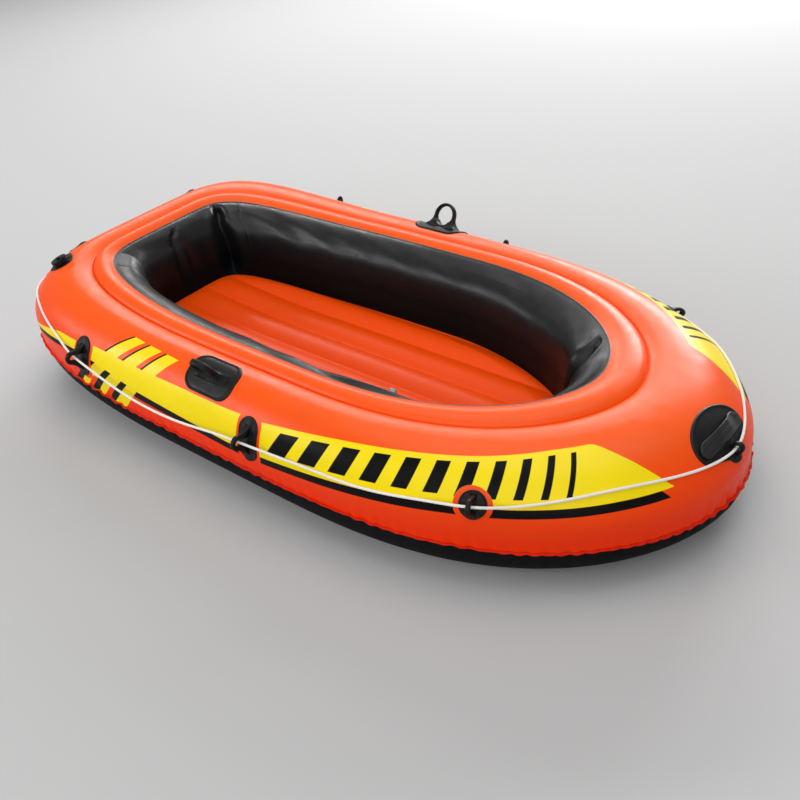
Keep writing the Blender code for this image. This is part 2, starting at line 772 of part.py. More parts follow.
def oarlock(name, side):
    row = row_at_share(OARLOCK_SHARE)
    station = side_station(TOP_ROWS, row, OARLOCK_X, side)
    frame = grid_frame(TOP_ROWS, row, station)
    outline = rounded_outline(OARLOCK_PAD_LENGTH, OARLOCK_PAD_WIDTH, OARLOCK_PAD_RADIUS)
    made = hull_pad(name, frame, outline, station)
    outlines = eye_outlines(
        OARLOCK_EYE_HEIGHT,
        OARLOCK_EYE_HALF_LENGTH,
        OARLOCK_EYE_HALF_HEIGHT,
        OARLOCK_EYE_WALL,
        OARLOCK_FOOT_HALF,
    )
    eye = flat_tool(name + "_eye", outlines, OARLOCK_THICKNESS, frame @ NORMAL_ALONG_HULL)
    stand_on_patch(made, eye, station)
    return made


def stand_on_patch(patch, eye, station):
    """Trim an eye's foot to the hull under its patch and join it to the patch."""
    below = layer_over(eye.name + "_below", TOP_ROWS, station, -2 * EYE_ROOT, EYE_SEAT)
    combine(eye, below, "DIFFERENCE")
    combine(patch, eye, "UNION")


def add_rope_eye(patch, frame, station, height, foot_half):
    outlines = eye_outlines(height, GUIDE_EYE_RADIUS, GUIDE_EYE_RADIUS, GUIDE_EYE_WALL, foot_half)
    eye = flat_tool(patch.name + "_eye", outlines, GUIDE_THICKNESS, frame @ NORMAL_UP_SECTION)
    stand_on_patch(patch, eye, station)


def rope_guide(name, row, station, is_round=False):
    frame = grid_frame(TOP_ROWS, row, station)
    tall = GUIDE_PAD_WIDTH if is_round else GUIDE_PAD_TALL
    foot_half = ROUND_FOOT_HALF if is_round else GUIDE_FOOT_HALF
    outline = rounded_outline(GUIDE_PAD_WIDTH, tall, GUIDE_PAD_WIDTH / 2)
    made = hull_pad(name, frame, outline, station)
    add_rope_eye(made, frame, station, GUIDE_EYE_HEIGHT, foot_half)
    return made


def guide_places():
    """Name, row, station and whether the guide is round, for each rope guide."""
    places = []
    for side_name, side in (("starboard", -1), ("port", 1)):
        for place, x, height, is_round in (
            ("aft", AFT_GUIDE_X, SIDE_GUIDE_HEIGHT, False),
            ("mid", MID_GUIDE_X, SIDE_GUIDE_HEIGHT, False),
            ("fore", FORE_GUIDE_X, FORE_GUIDE_HEIGHT, True),
        ):
            row = row_at_height(height)
            station = side_station(TOP_ROWS, row, x, side)
            places.append((f"rope_guide_{side_name}_{place}", row, station, is_round))
        row = row_at_height(STERN_GUIDE_HEIGHT)
        station = stern_station(TOP_ROWS, row, side * STERN_GUIDE_Y)
        places.append((f"rope_guide_{side_name}_stern", row, station, False))
    return places


def handle_outline():
    """The bow patch: a broad round top and a narrower lobe at the foot, for the rope's eye."""
    shoulder = HANDLE_HALF_WIDTH
    lobe = HANDLE_LOBE_HALF
    top = arc(0.0, 0.0, shoulder, HANDLE_TOP, -20, 200, 2 * PAD_STEPS)
    foot_y = -HANDLE_LOBE_DROP + lobe
    foot = arc(0.0, foot_y, lobe, lobe, 190, 350, PAD_STEPS)
    return top + foot


def grip_strap():
    """A strap welded to the bow patch at its ends and raised between them for the fingers."""
    base_row = row_at_height(HANDLE_HEIGHT)
    spacing = (grid_point(TOP_ROWS, base_row, 1.0) - grid_point(TOP_ROWS, base_row, 0.0)).length
    rows = []
    for edge in (GRIP_LOW, GRIP_HIGH):
        line = []
        for step in range(GRIP_STEPS + 1):
            along = GRIP_HALF_LENGTH * (2 * step / GRIP_STEPS - 1)
            free = max(0.0, GRIP_HALF_LENGTH - GRIP_WELD - abs(along)) / (GRIP_HALF_LENGTH - GRIP_WELD)
            lift = GRIP_LIFT * min(1.0, GRIP_STEEPNESS * free)
            place = grid_frame(TOP_ROWS, base_row, along / spacing)
            line.append(place @ Vector((0.0, edge, PAD_HIGH + GAP + lift)))
        rows.append(line)
    made = add_object("bow_handle_grip", grid_mesh("bow_handle_grip", rows, closed=False), **MOULDED)
    thicken(made, GRIP_THICKNESS, 1.0)
    below = layer_over("bow_grip_floor", TOP_ROWS, 0.0, -UNDER_PAD_DEPTH, PAD_HIGH + GAP)
    combine(made, below, "DIFFERENCE")


def bow_handle():
    row = row_at_height(HANDLE_HEIGHT)
    frame = grid_frame(TOP_ROWS, row, 0.0)
    base = hull_pad("bow_handle_base", frame, handle_outline(), 0.0)
    eye_frame = frame @ Matrix.Translation((0.0, -HANDLE_EYE_DROP, 0.0))
    add_rope_eye(base, eye_frame, 0.0, HANDLE_EYE_HEIGHT, ROUND_FOOT_HALF)
    grip_strap()


# Grab rope

def smooth_share(share):
    share = min(1.0, max(0.0, share))
    return share * share * (3 - 2 * share)


def rope_stops(places):
    """Stations, section heights and heights over the hull that the rope passes, from the stern round."""
    lying = ROPE_RADIUS + ROPE_CLEARANCE
    by_name = {name: (row, station) for name, row, station, _ in places}
    stops = [(STERN_STATION, row_at_height(ROPE_STERN_HEIGHT), lying)]

    def add_guide(name, wrap=0.0):
        row, station = by_name[name]
        stops.append((station + wrap, row, GUIDE_EYE_HEIGHT))

    def add_span(side, x, height, wrap=0.0):
        row = row_at_height(height)
        stops.append((side_station(TOP_ROWS, row, x, side) + wrap, row, lying))

    add_guide("rope_guide_starboard_stern")
    add_span(-1, ROPE_CORNER_X, ROPE_CORNER_HEIGHT)
    add_guide("rope_guide_starboard_aft")
    add_span(-1, ROPE_SAG_X, ROPE_SAG_HEIGHT)
    add_guide("rope_guide_starboard_mid")
    add_span(-1, ROPE_LEVEL_X, SIDE_GUIDE_HEIGHT)
    add_guide("rope_guide_starboard_fore")
    add_span(-1, ROPE_BOW_X, ROPE_BOW_HEIGHT)
    stops.append((STATIONS, bow_eye_row(row_at_height(HANDLE_HEIGHT)), HANDLE_EYE_HEIGHT))
    add_span(1, ROPE_BOW_X, ROPE_BOW_HEIGHT, STATIONS)
    add_guide("rope_guide_port_fore", STATIONS)
    add_span(1, ROPE_LEVEL_X, SIDE_GUIDE_HEIGHT, STATIONS)
    add_guide("rope_guide_port_mid", STATIONS)
    add_span(1, ROPE_SAG_X, ROPE_SAG_HEIGHT, STATIONS)
    add_guide("rope_guide_port_aft", STATIONS)
    add_span(1, ROPE_CORNER_X, ROPE_CORNER_HEIGHT, STATIONS)
    add_guide("rope_guide_port_stern", STATIONS)
    stops.append((STATIONS + STERN_STATION, row_at_height(ROPE_STERN_HEIGHT), lying))
    return stops


def bow_eye_row(row):
    """The row that lies the eye's drop below the bow handle's middle."""
    step = (grid_point(TOP_ROWS, row, 0.0) - grid_point(TOP_ROWS, row - 1.0, 0.0)).length
    return row - HANDLE_EYE_DROP / step


def rope_route(stops):
    """Points of the rope: on each station, in each eye and where it comes down to the hull."""
    lying = ROPE_RADIUS + ROPE_CLEARANCE
    stations = [stop[0] for stop in stops]
    rows = [stop[1] for stop in stops]
    raised = [(station, height) for station, _, height in stops if height > lying]
    spacing = (grid_point(TOP_ROWS, rows[0], 0.0) - grid_point(TOP_ROWS, rows[0], 1.0)).length
    reach = ROPE_FALL_AWAY / spacing
    wanted = list(range(math.ceil(stations[0]), math.floor(stations[-1]) + 1))
    wanted += [station + shift for station, _ in raised for shift in (-reach / 2, 0.0, reach / 2)]
    wanted = sorted(station for station in wanted if stations[0] < station < stations[-1])
    eyes = [station for station, _ in raised]
    kept = [wanted[0]]
    for station in wanted[1:]:
        if station - kept[-1] > ROPE_POINT_SPACING:
            kept.append(station)
        elif station in eyes:
            kept[-1] = station
    points = []
    for station in kept:
        row = smooth_value(station, stations, rows)
        height = lying
        for place, top in raised:
            height = max(height, lying + (top - lying) * smooth_share(1 - abs(station - place) / reach))
        points.append(grid_frame(TOP_ROWS, row, station) @ Vector((0.0, 0.0, height)))
    return points


def smooth_value(place, places, values):
    """A value eased between the stops on each side of a place."""
    number = max(0, min(len(places) - 2, int(np.searchsorted(places, place)) - 1))
    share = (place - places[number]) / (places[number + 1] - places[number])
    return values[number] + (values[number + 1] - values[number]) * smooth_share(share)


def tube(name, points, radius, closed, colour, resolution):
    curve = bpy.data.curves.new(name, "CURVE")
    curve.dimensions = "3D"
    curve.bevel_depth = radius
    curve.bevel_resolution = resolution
    curve.use_fill_caps = True
    spline = curve.splines.new("POLY")
    spline.points.add(len(points) - 1)
    for point, place in zip(spline.points, points, strict=True):
        point.co = (*place, 1.0)
    spline.use_cyclic_u = closed
    made = bpy.data.objects.new(name, curve)
    PARTS.objects.link(made)
    curve.materials.append(plain_material(name, colour, 0.8))
    return made


def knot_points(frame):
    points = []
    for step in range(KNOT_POINTS):
        angle = 2 * math.pi * step / KNOT_POINTS
        x = KNOT_SPREAD * (math.cos(angle) + 2 * math.cos(2 * angle))
        y = KNOT_SPREAD * (math.sin(angle) - 2 * math.sin(2 * angle))
        z = KNOT_DEPTH * math.sin(3 * angle)
        points.append(frame @ Vector((x, y, z)))
    return points


def knot_reach(points, frame, direction):
    """How far the knot's tube reaches along the rope's line from its middle."""
    inverse = frame.inverted()
    near = []
    for point in points:
        local = inverse @ point
        if math.hypot(local.y, local.z) < 2 * ROPE_RADIUS:
            near.append(local.x * direction)
    return max(near) + ROPE_RADIUS


def grab_rope(places):
    stops = rope_stops(places)
    route = rope_route(stops)
    stern_row = row_at_height(ROPE_STERN_HEIGHT)
    on_hull = grid_frame(TOP_ROWS, stern_row, STERN_STATION)
    lift = KNOT_DEPTH + ROPE_RADIUS + ROPE_CLEARANCE
    frame = on_hull @ Matrix.Translation((0.0, 0.0, lift))
    knot = knot_points(frame)
    tube("rope_knot", knot, ROPE_RADIUS, True, ROPE_WHITE, 1)
    start = frame @ Vector((knot_reach(knot, frame, 1) + GAP, 0.0, 0.0))
    end = frame @ Vector((-knot_reach(knot, frame, -1) - GAP, 0.0, 0.0))
    tube("grab_rope", [start] + route + [end], ROPE_RADIUS, False, ROPE_WHITE, ROPE_SIDES_RESOLUTION)


# Main valve

def main_valve(top_skin):
    row = row_at_share(VALVE_SHARE)
    station = stern_station(TOP_ROWS, row, VALVE_Y)
    frame = grid_frame(TOP_ROWS, row, station)
    hole = round_solid("main_valve_hole", VALVE_NECK_RADIUS + GAP, -TOOL_DEPTH, TOOL_DEPTH, frame)
    combine(top_skin, hole, "DIFFERENCE")
    flange = arc(0.0, 0.0, VALVE_FLANGE_RADIUS, VALVE_FLANGE_RADIUS, 0, 360, ROUND_SIDES)[:-1]
    base = hull_pad("main_valve_base", frame, flange, station)
    neck = round_solid("main_valve_neck", VALVE_NECK_RADIUS, -VALVE_NECK_DEPTH, VALVE_NECK_HEIGHT, frame)
    bore = round_solid("main_valve_bore", VALVE_BORE_RADIUS, -TOOL_DEPTH, TOOL_DEPTH, frame)
    combine(base, neck, "UNION")
    combine(base, bore, "DIFFERENCE")

    lip_low = VALVE_NECK_HEIGHT + GAP
    lip_high = lip_low + VALVE_LIP_HEIGHT
    body_radius = VALVE_BORE_RADIUS - GAP
    turned_solid(
        "main_valve_body",
        [
            (VALVE_LIP_RADIUS, lip_high),
            (VALVE_LIP_RADIUS, lip_low),
            (body_radius, lip_low),
            (body_radius, -VALVE_BODY_DEPTH),
            (VALVE_PORT_RADIUS, -VALVE_BODY_DEPTH),
            (VALVE_PORT_RADIUS, lip_high),
        ],
        frame,
        MOULDED_BLACK,
        sides=ROUND_SIDES,
    )
    flap_high = -VALVE_BODY_DEPTH - GAP
    hinge = frame @ Matrix.Translation((0.0, VALVE_FLAP_RADIUS, flap_high))
    outline = arc(0.0, -VALVE_FLAP_RADIUS, VALVE_FLAP_RADIUS, VALVE_FLAP_RADIUS, 0, 360, SMALL_SIDES)[:-1]
    mesh = flat_shape("main_valve_flap", [outline], VALVE_FLAP_THICKNESS)
    mesh.transform(Matrix.Translation((0.0, 0.0, -VALVE_FLAP_THICKNESS / 2)))
    add_object("main_valve_flap", mesh, BLACK, 0.6, hinge)

    cap_low = lip_high + GAP
    cap_high = cap_low + VALVE_CAP_TOP
    skirt_low = cap_low - VALVE_CAP_SKIRT
    button_high = cap_high + VALVE_BUTTON_HEIGHT
    turned_solid(
        "main_valve_cap",
        [
            (0.0, button_high),
            (VALVE_BUTTON_HEAD, button_high),
            (VALVE_BUTTON_HEAD, button_high - VALVE_BUTTON_HEAD_HEIGHT),
            (VALVE_BUTTON_RADIUS, button_high - VALVE_BUTTON_HEAD_HEIGHT),
            (VALVE_BUTTON_RADIUS, cap_high),
            (VALVE_CAP_RADIUS, cap_high),
            (VALVE_CAP_RADIUS, skirt_low),
            (VALVE_NECK_RADIUS + GAP, skirt_low),
            (VALVE_NECK_RADIUS + GAP, cap_low),
            (0.0, cap_low),
        ],
        frame,
        MOULDED_BLACK,
        sides=ROUND_SIDES,
    )
    valve_tether(frame, skirt_low, cap_high)
    return frame


def valve_tether(frame, skirt_low, cap_high):
    """A strap from a ring round the neck to a ring round the cap's button."""
    low = skirt_low - GAP - TETHER_RING_THICKNESS
    high = cap_high + GAP
    outer = VALVE_NECK_RADIUS + GAP + TETHER_RING_WALL
    made = round_solid("main_valve_tether", outer, low, low + TETHER_RING_THICKNESS, frame, **MOULDED)
    hole = round_solid("tether_neck_hole", VALVE_NECK_RADIUS + GAP, -TOOL_DEPTH, cap_high, frame)
    bend_radius = (high - low) / 2
    middle = (high + low + TETHER_RING_THICKNESS) / 2
    rows = []
    for edge in (TETHER_WIDTH / 2, -TETHER_WIDTH / 2):
        line = [frame @ Vector((edge, outer - TETHER_RING_WALL / 2, middle - bend_radius))]
        for step in range(TETHER_STEPS + 1):
            angle = math.pi * (step / TETHER_STEPS - 0.5)
            out = TETHER_REACH - bend_radius + bend_radius * math.cos(angle)
            line.append(frame @ Vector((edge, out, middle + bend_radius * math.sin(angle))))
        line.append(frame @ Vector((edge, VALVE_BUTTON_RADIUS + TETHER_RING_WALL / 2, middle + bend_radius)))
        rows.append(line)
    strap = add_object("tether_strap", grid_mesh("tether_strap", rows, closed=False))
    thicken(strap, TETHER_THICKNESS, 0.0)
    button_clear = VALVE_BUTTON_RADIUS + GAP
    ring_radius = button_clear + TETHER_RING_WALL
    ring = round_solid("tether_button_ring", ring_radius, high, high + TETHER_RING_THICKNESS, frame)
    button_hole = round_solid("tether_button_hole", button_clear, cap_high, TOOL_DEPTH, frame)
    combine(made, hole, "DIFFERENCE")
    combine(made, strap, "UNION")
    combine(made, ring, "UNION")
    combine(made, button_hole, "DIFFERENCE")


# Push-in valves

def push_in_valve(name, frame, skin, layer):
    """A stem that pushes in through a flange on the sheet, and its plug."""
    hole = round_solid(name + "_hole", STEM_RADIUS + GAP, -TOOL_DEPTH, TOOL_DEPTH, frame)
    combine(skin, hole, "DIFFERENCE")
    outline = arc(0.0, 0.0, STEM_FLANGE_RADIUS, STEM_FLANGE_RADIUS, 0, 360, SMALL_SIDES)[:-1]
    flange = pad(name + "_flange", frame, outline, layer, CLEAR_GREY, 0.35)
    combine(flange, hole, "DIFFERENCE")
    turned_solid(
        name + "_stem",
        [
            (STEM_RADIUS, STEM_HEIGHT),
            (STEM_RADIUS, -STEM_DEPTH),
            (STEM_BORE_RADIUS, -STEM_DEPTH),
            (STEM_BORE_RADIUS, STEM_HEIGHT),
        ],
        frame,
        CLEAR_GREY,
        0.35,
    )
    head_low = STEM_HEIGHT + GAP
    turned_solid(
        name + "_plug",
        [
            (0.0, head_low + PLUG_HEAD_HEIGHT),
            (PLUG_HEAD_RADIUS, head_low + PLUG_HEAD_HEIGHT),
            (PLUG_HEAD_RADIUS, head_low),
            (STEM_BORE_RADIUS - GAP, head_low),
            (STEM_BORE_RADIUS - GAP, STEM_HEIGHT - PLUG_LENGTH),
            (0.0, STEM_HEIGHT - PLUG_LENGTH),
        ],
        frame,
        CLEAR_GREY,
        0.35,
    )


def wall_valve(wall):
    depths = [-line[0].z for line in WALL_ROWS]
    row = float(np.interp(-INNER_VALVE_HEIGHT, depths, range(len(depths))))
    station = side_station(WALL_ROWS, row, INNER_VALVE_X, -1)
    frame = grid_frame(WALL_ROWS, row, station)
    layer = layer_over("inner_valve_layer", WALL_ROWS, station, PAD_LOW, PAD_HIGH)
    push_in_valve("inner_valve", frame, wall, layer)


def floor_valve(floor_top):
    y = channel_middle(0)
    place = Vector((FLOOR_VALVE_X, y, FLOOR_HEIGHT + CHANNEL_RISE + rise(FLOOR_VALVE_X)))
    layer = add_object("floor_valve_layer", grid_mesh("floor_valve_layer", floor_rows(), closed=False))
    thicken(layer, PAD_THICKNESS, (PAD_HIGH + PAD_LOW) / PAD_THICKNESS)
    push_in_valve("floor_valve", Matrix.Translation(place), floor_top, layer)


def build_boat():
    top, _, wall, _ = hull_skins()
    floor_top, _ = floor_sheets()
    floor_webs()
    oarlock("oarlock_starboard", -1)
    oarlock("oarlock_port", 1)
    places = guide_places()
    for name, row, station, is_round in places:
        rope_guide(name, row, station, is_round)
    bow_handle()
    grab_rope(places)
    main_valve(top)
    wall_valve(wall)
    floor_valve(floor_top)


build_boat()
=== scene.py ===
"""The looks of a two-person inflatable boat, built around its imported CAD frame.

Metres, +X to the bow, +Y to port, +Z up, as in the frame. Rings of points go round the boat from the bow
tip over the port side and the stern back to the bow. The skins are grids of such rings, and the moulded
fittings are laid on the hull by two lengths: the way round from the bow, and the way up from the seam.
"""

import math

import bpy
import numpy as np
from mathutils import Matrix, Vector
from mathutils.bvhtree import BVHTree


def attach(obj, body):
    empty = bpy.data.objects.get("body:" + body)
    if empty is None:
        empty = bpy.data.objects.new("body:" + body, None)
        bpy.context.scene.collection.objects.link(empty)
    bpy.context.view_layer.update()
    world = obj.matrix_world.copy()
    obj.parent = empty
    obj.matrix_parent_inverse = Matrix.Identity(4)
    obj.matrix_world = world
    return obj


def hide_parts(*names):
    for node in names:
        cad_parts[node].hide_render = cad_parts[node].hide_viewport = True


# Camera
IMAGE_SIZE = 800
FOCAL_PIXELS = 979.6
SENSOR_WIDTH = 36.0
CAMERA_AZIMUTH = math.radians(43.07)
CAMERA_ELEVATION = math.radians(34.84)
CAMERA_ROLL = math.radians(-6.70)
CAMERA_DISTANCE = 2.342
CAMERA_TARGET = Vector((0.2069, -0.1565, 0.15))

# Plan of the hull
HULL_LENGTH = 1.96
HULL_BEAM = 1.02
WIDEST_X = 0.087
BOW_TUBE_WIDTH = 0.328
STERN_TUBE_WIDTH = 0.175
SIDE_TUBE_WIDTH = 0.194
BOW_WALL_INSET = 0.098
STERN_WALL_INSET = 0.063
SIDE_WALL_INSET = 0.084
OUTER_POWERS = ((2.745, 1.825), (5.53, 5.66))
RIM_POWERS = ((2.36, 1.86), (2.69, 5.97))
FLOOR_POWERS = ((1.77, 1.86), (2.36, 5.97))

# Heights of the hull's section, and shares of the tube's width
SEAM_HEIGHT = 0.111
WIDEST_HEIGHT = 0.163
OUTER_CREST_HEIGHT = 0.287
CREASE_HEIGHT = 0.272
INNER_CREST_HEIGHT = 0.294
RIM_HEIGHT = 0.283
FLOOR_HEIGHT = 0.081
STERN_RISE = 0.06
RISE_START_X = -0.3
OUTER_CREST_SHARE = 0.53
CREASE_SHARE = 0.732
INNER_CREST_SHARE = 0.87
BILGE_SHARE = 0.6
OUTER_LOBE_POWER = 1.76
BILGE_POWER = 2.3
SHOULDER_POWER = 0.8
SEAM_FLANGE = 0.005
FLANGE_THICKNESS = 0.0009
FLANGE_ROW_STEP = 0.002

# Fittings' places and sizes
OARLOCK_X = -0.11
OARLOCK_SHARE = 0.34
OARLOCK_PAD = (0.158, 0.095, 0.035)
OARLOCK_EYE_HEIGHT = 0.034
OARLOCK_EYE_HALF = (0.0265, 0.0275)
OARLOCK_EYE_WALL = 0.0085
OARLOCK_FOOT_HALF = 0.055
OARLOCK_THICKNESS = 0.014
OARLOCK_THICKENING = (1.15, 1.1, 2.2)
AFT_GUIDE_X = -0.58
MID_GUIDE_X = 0.053
FORE_GUIDE_X = 0.617
STERN_GUIDE_Y = 0.21
SIDE_GUIDE_HEIGHT = 0.195
FORE_GUIDE_HEIGHT = 0.212
STERN_GUIDE_HEIGHT = 0.225
GUIDE_PAD = (0.059, 0.107, 0.0295)
ROUND_GUIDE_PAD = (0.059, 0.059, 0.0295)

# Rope loops: how far each leans up the section at its eye, and the heights of its eye and of the rope in it.
# The loops that the rope pulls over stand lower than the upright ones
UPRIGHT_LOOP = (0.0, 0.029, 0.025)
PULLED_LOOPS = {
    "port_aft": (0.013, 0.018, 0.015),
    "port_mid": (0.013, 0.018, 0.015),
    "port_fore": (-0.008, 0.012, 0.009),
    "port_stern": (-0.018, 0.018, 0.015),
    "starboard_stern": (-0.018, 0.018, 0.015),
}

GUIDE_EYE_RADIUS = 0.008
GUIDE_EYE_WALL = 0.011
GUIDE_HOLE_HALF = 0.012
GUIDE_HOLE_FOOT = 0.004
GUIDE_HOLE_NARROWING = 0.9
GUIDE_FOOT_HALF = 0.036
ROUND_FOOT_HALF = 0.024
GUIDE_THICKNESS = 0.0125
GUIDE_THICKENING = (0.8, 0.45)
HANDLE_HEIGHT = 0.24
HANDLE_HALF_WIDTH = 0.09
HANDLE_TOP = 0.06
HANDLE_LOBE_DROP = 0.066
HANDLE_LOBE_HALF = 0.024
HANDLE_EYE_DROP = 0.041
HANDLE_EYE_HEIGHT = 0.009
HANDLE_EYE_RADIUS = 0.0062
HANDLE_EYE_WALL = 0.007
HANDLE_EYE_FOOT = 0.017
HANDLE_EYE_THICKNESS = 0.012
GRIP_HALF_LENGTH = 0.06
GRIP_LOW = -0.025
GRIP_HIGH = 0.009
GRIP_LIFT = 0.009
GRIP_ROUND = 0.013
GRIP_ARCH = 0.008
GRIP_THICKNESS = 0.004
GRIP_WELD = 0.014
GRIP_STEEPNESS = 1.4
GRIP_RIB = 0.0011
GRIP_RIB_SHARES = (0.3, 0.7)
GRIP_RIB_HALF = 0.07
GRIP_EDGE_THICKNESS = 0.35
GRIP_EDGE_WIDTH = 0.1
GRIP_LOW_LIFT = 0.35
GRIP_TILT = 1.3
GRIP_GAP = 0.0003
OARLOCK_BEVEL = 0.0042
LOOP_BEVEL = 0.003
VALVE_HOLE = 0.0108
INNER_VALVE = (0.24955, -0.23217, 0.221)
FLOOR_VALVE = (0.12, -0.18, 0.096)

# Relief of the moulded patches. Rims, panels and folds: height, share of the way out and half width there.
# Bosses: height, and half width along or up the patch
PAD_THICKNESS = 0.0019
CORNER_STEPS = 12
OARLOCK_RIM = (0.0022, 0.945, 0.035)
OARLOCK_PANEL = (0.0006, 0.8, 0.03)
OARLOCK_BOSS = (0.0016, 0.062, 0.014)
GUIDE_RIM = (0.0011, 0.93, 0.04)
GUIDE_FOLD = (0.00042, 0.6, 0.35)
GUIDE_FOLDS = 9
GUIDE_BOSS = (0.0022, 0.011)
HANDLE_RIM = (0.0018, 0.94, 0.035)
HANDLE_BOSS = (0.002, 0.014)
HANDLE_BOSS_TOP = -0.012
HANDLE_BOSS_FADE = 0.008

# Grab rope
ROPE_RADIUS = 0.003
ROPE_CLEARANCE = 0.0006
ROPE_FALL_AWAY = 0.13
ROPE_EASING = 30
ROPE_STERN_HEIGHT = 0.215
ROPE_CORNER_X = -0.85
ROPE_CORNER_HEIGHT = 0.222
ROPE_SAG_X = -0.27
ROPE_SAG_HEIGHT = 0.166
ROPE_LEVEL_X = 0.33
ROPE_BOW_X = 0.84
ROPE_BOW_HEIGHT = 0.231
KNOT_SPREAD = 0.0036
KNOT_DEPTH = 0.0044
KNOT_CLEARANCE = 0.012
KNOT_PLACE = (-0.97499, 0.0, 0.27647)
ROPE_EXIT_YS = (-0.0141, 0.00997)
STRAND_DEPTH = 0.03
STRAND_TURNS = 28.0
ROPE_STEP = 0.0025
ROPE_STRIDE = 1.5
ROPE_SIDES = 14

# Resolution of the skins
QUARTER_STATIONS = 240
BEND_WEIGHT = 0.25
CURVE_SAMPLES = 4001
STATIONS = 4 * QUARTER_STATIONS

# Puckers, folds and welds of the sheets
PUCKER_SEED = 7
PUCKER_WAVES = (95, 165)
FINE_WAVES = (180, 260)
SCALLOP_WAVES = (72, 100)
SEAM_PUCKER = 0.0016
SEAM_PUCKER_FADE = 0.018
EDGE_WAVE = (0.003, -0.007, 0.001)
EDGE_WAVE_OUT = 0.3
FLANGE_DROOP = 0.0035
UNDER_SEAM = 0.0006
WALL_SWELL = 0.006
WALL_UNDULATION = 0.0016
WALL_SEED = 21
WALL_WAVES = (5, 24)
WALL_STEPS = 96
WALL_TOP_FADE = 0.05
WALL_FOOT_FADE = 0.04
LEDGE_SINK = 0.016
BELLY_SINK = 0.019
PORT_SINK = 0.1
SINK_START_X = -0.1
SINK_RUN = 0.3
SINK_FADE = 0.3
SWELL_START_X = 0.05
SWELL_RUN = 0.55
SWELL_END = 0.7
SWELL_POWER = 1.5
SINK_POWER = 0.8
LEDGE_END = 0.4
BELLY_END = 0.85
LEAST_SWELL = 0.1
VALVE_SEAT = 0.15
FOLD_TOP_FADE = 0.18
FOLD_GROWTH_POWER = 1.3
FOLD_TOP_WIDTH = 0.45
FOLD_WIDENING = 0.8
FOLD_POWER = 1.15
FOLD_WANDER = 0.004
FOLD_WANDER_RATE = 9.0
FOLD_WANDER_SHIFT = 5
FOLD_LIP = 0.12
FOLD_LIP_AWAY = 2.1
FOLD_LIP_HALF = 1.3
CREASE_DEPTH = 0.0005
CREASE_SPREAD = 0.05
CREASE_RATE = 520.0
CREASE_SLANT = 30.0
CREASE_PLACES = (1.623, 1.8)
SIDE_WELD = 1.553
SIDE_WELD_BEAD = 0.0012
SIDE_WELD_HALF = 0.003
SIDE_WELD_TOP = 0.1
RIM_BEAD = 0.001
RIM_RIB = 0.00022
RIM_RIB_COUNT = 900

# Floor
FLOOR_CHANNELS = 5
FLOOR_EDGE_WIDTH = 0.007
CHANNEL_RISE = 0.015
CHANNEL_POWER = 0.8
FLOOR_FADE = 0.3
FLOOR_FADE_POWER = 0.7

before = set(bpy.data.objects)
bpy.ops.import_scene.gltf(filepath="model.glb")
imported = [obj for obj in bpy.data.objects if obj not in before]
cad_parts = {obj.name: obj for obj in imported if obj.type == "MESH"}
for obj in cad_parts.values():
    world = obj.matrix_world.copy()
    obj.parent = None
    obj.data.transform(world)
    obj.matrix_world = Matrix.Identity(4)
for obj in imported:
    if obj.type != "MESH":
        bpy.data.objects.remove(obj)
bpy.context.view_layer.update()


# Camera

def aim_camera():
    data = bpy.data.cameras.new("camera")
    data.sensor_width = SENSOR_WIDTH
    data.lens = FOCAL_PIXELS / IMAGE_SIZE * SENSOR_WIDTH
    camera = bpy.data.objects.new("camera", data)
    bpy.context.scene.collection.objects.link(camera)
    level = Vector((math.cos(CAMERA_AZIMUTH), math.sin(CAMERA_AZIMUTH), 0.0))
    away = Vector((level.y, -level.x, 0.0))
    back = away * math.cos(CAMERA_ELEVATION) + Vector((0.0, 0.0, math.sin(CAMERA_ELEVATION)))
    upright = back.cross(level)
    right = level * math.cos(CAMERA_ROLL) + upright * math.sin(CAMERA_ROLL)
    up = upright * math.cos(CAMERA_ROLL) - level * math.sin(CAMERA_ROLL)
    turn = Matrix((right, up, back)).transposed().to_4x4()
    camera.matrix_world = Matrix.Translation(CAMERA_TARGET + back * CAMERA_DISTANCE) @ turn
    bpy.context.scene.camera = camera


aim_camera()


# Steps, waves and lengths along lines

def between(low, high, share):
    return low + (high - low) * share


def gentle_step(share):
    """From 0 to 1 with level ends."""
    share = np.clip(share, 0.0, 1.0)
    return share * share * (3 - 2 * share)


def bell(away, width, power=2):
    """1 at the middle, falling to nothing on both sides."""
    return np.exp(-(np.abs(away / width) ** power))


def half_wave(share, end):
    """Rises from 0 to 1 and falls back to 0 at a share."""
    return np.sin(math.pi * np.clip(share / end, 0.0, 1.0))


def way_along(line):
    """Length along a line at each of its points."""
    return np.concatenate([[0.0], np.cumsum(np.linalg.norm(np.diff(line, axis=0), axis=1))])


def evenly(line, count, endpoint=True):
    """Points evenly spaced along a line."""
    way = way_along(line)
    wanted = np.linspace(0.0, way[-1], count, endpoint=endpoint)
    return np.column_stack([np.interp(wanted, way, column) for column in line.T])


# Plan curves, as in the frame's own hull

def quarter_samples(length, half_width, powers):
    angle = np.linspace(0.0, math.pi / 2, CURVE_SAMPLES)
    x = length * np.cos(angle).clip(0.0) ** (2 / powers[0])
    y = half_width * np.sin(angle) ** (2 / powers[1])
    way = way_along(np.column_stack([x, y]))
    return x, y, way / way[-1], way[-1]


def station_shares(length, half_width, powers):
    """Shares of a quarter's arc length for its stations, closer together where the outline bends."""
    x, y, share, total = quarter_samples(length, half_width, powers)
    heading = np.unwrap(np.arctan2(np.diff(y), np.diff(x)))
    turned = np.concatenate([[0.0, 0.0], np.cumsum(np.abs(np.diff(heading)))])
    weight = share * total + BEND_WEIGHT * turned
    return np.interp(np.linspace(0.0, weight[-1], QUARTER_STATIONS + 1), weight, share)


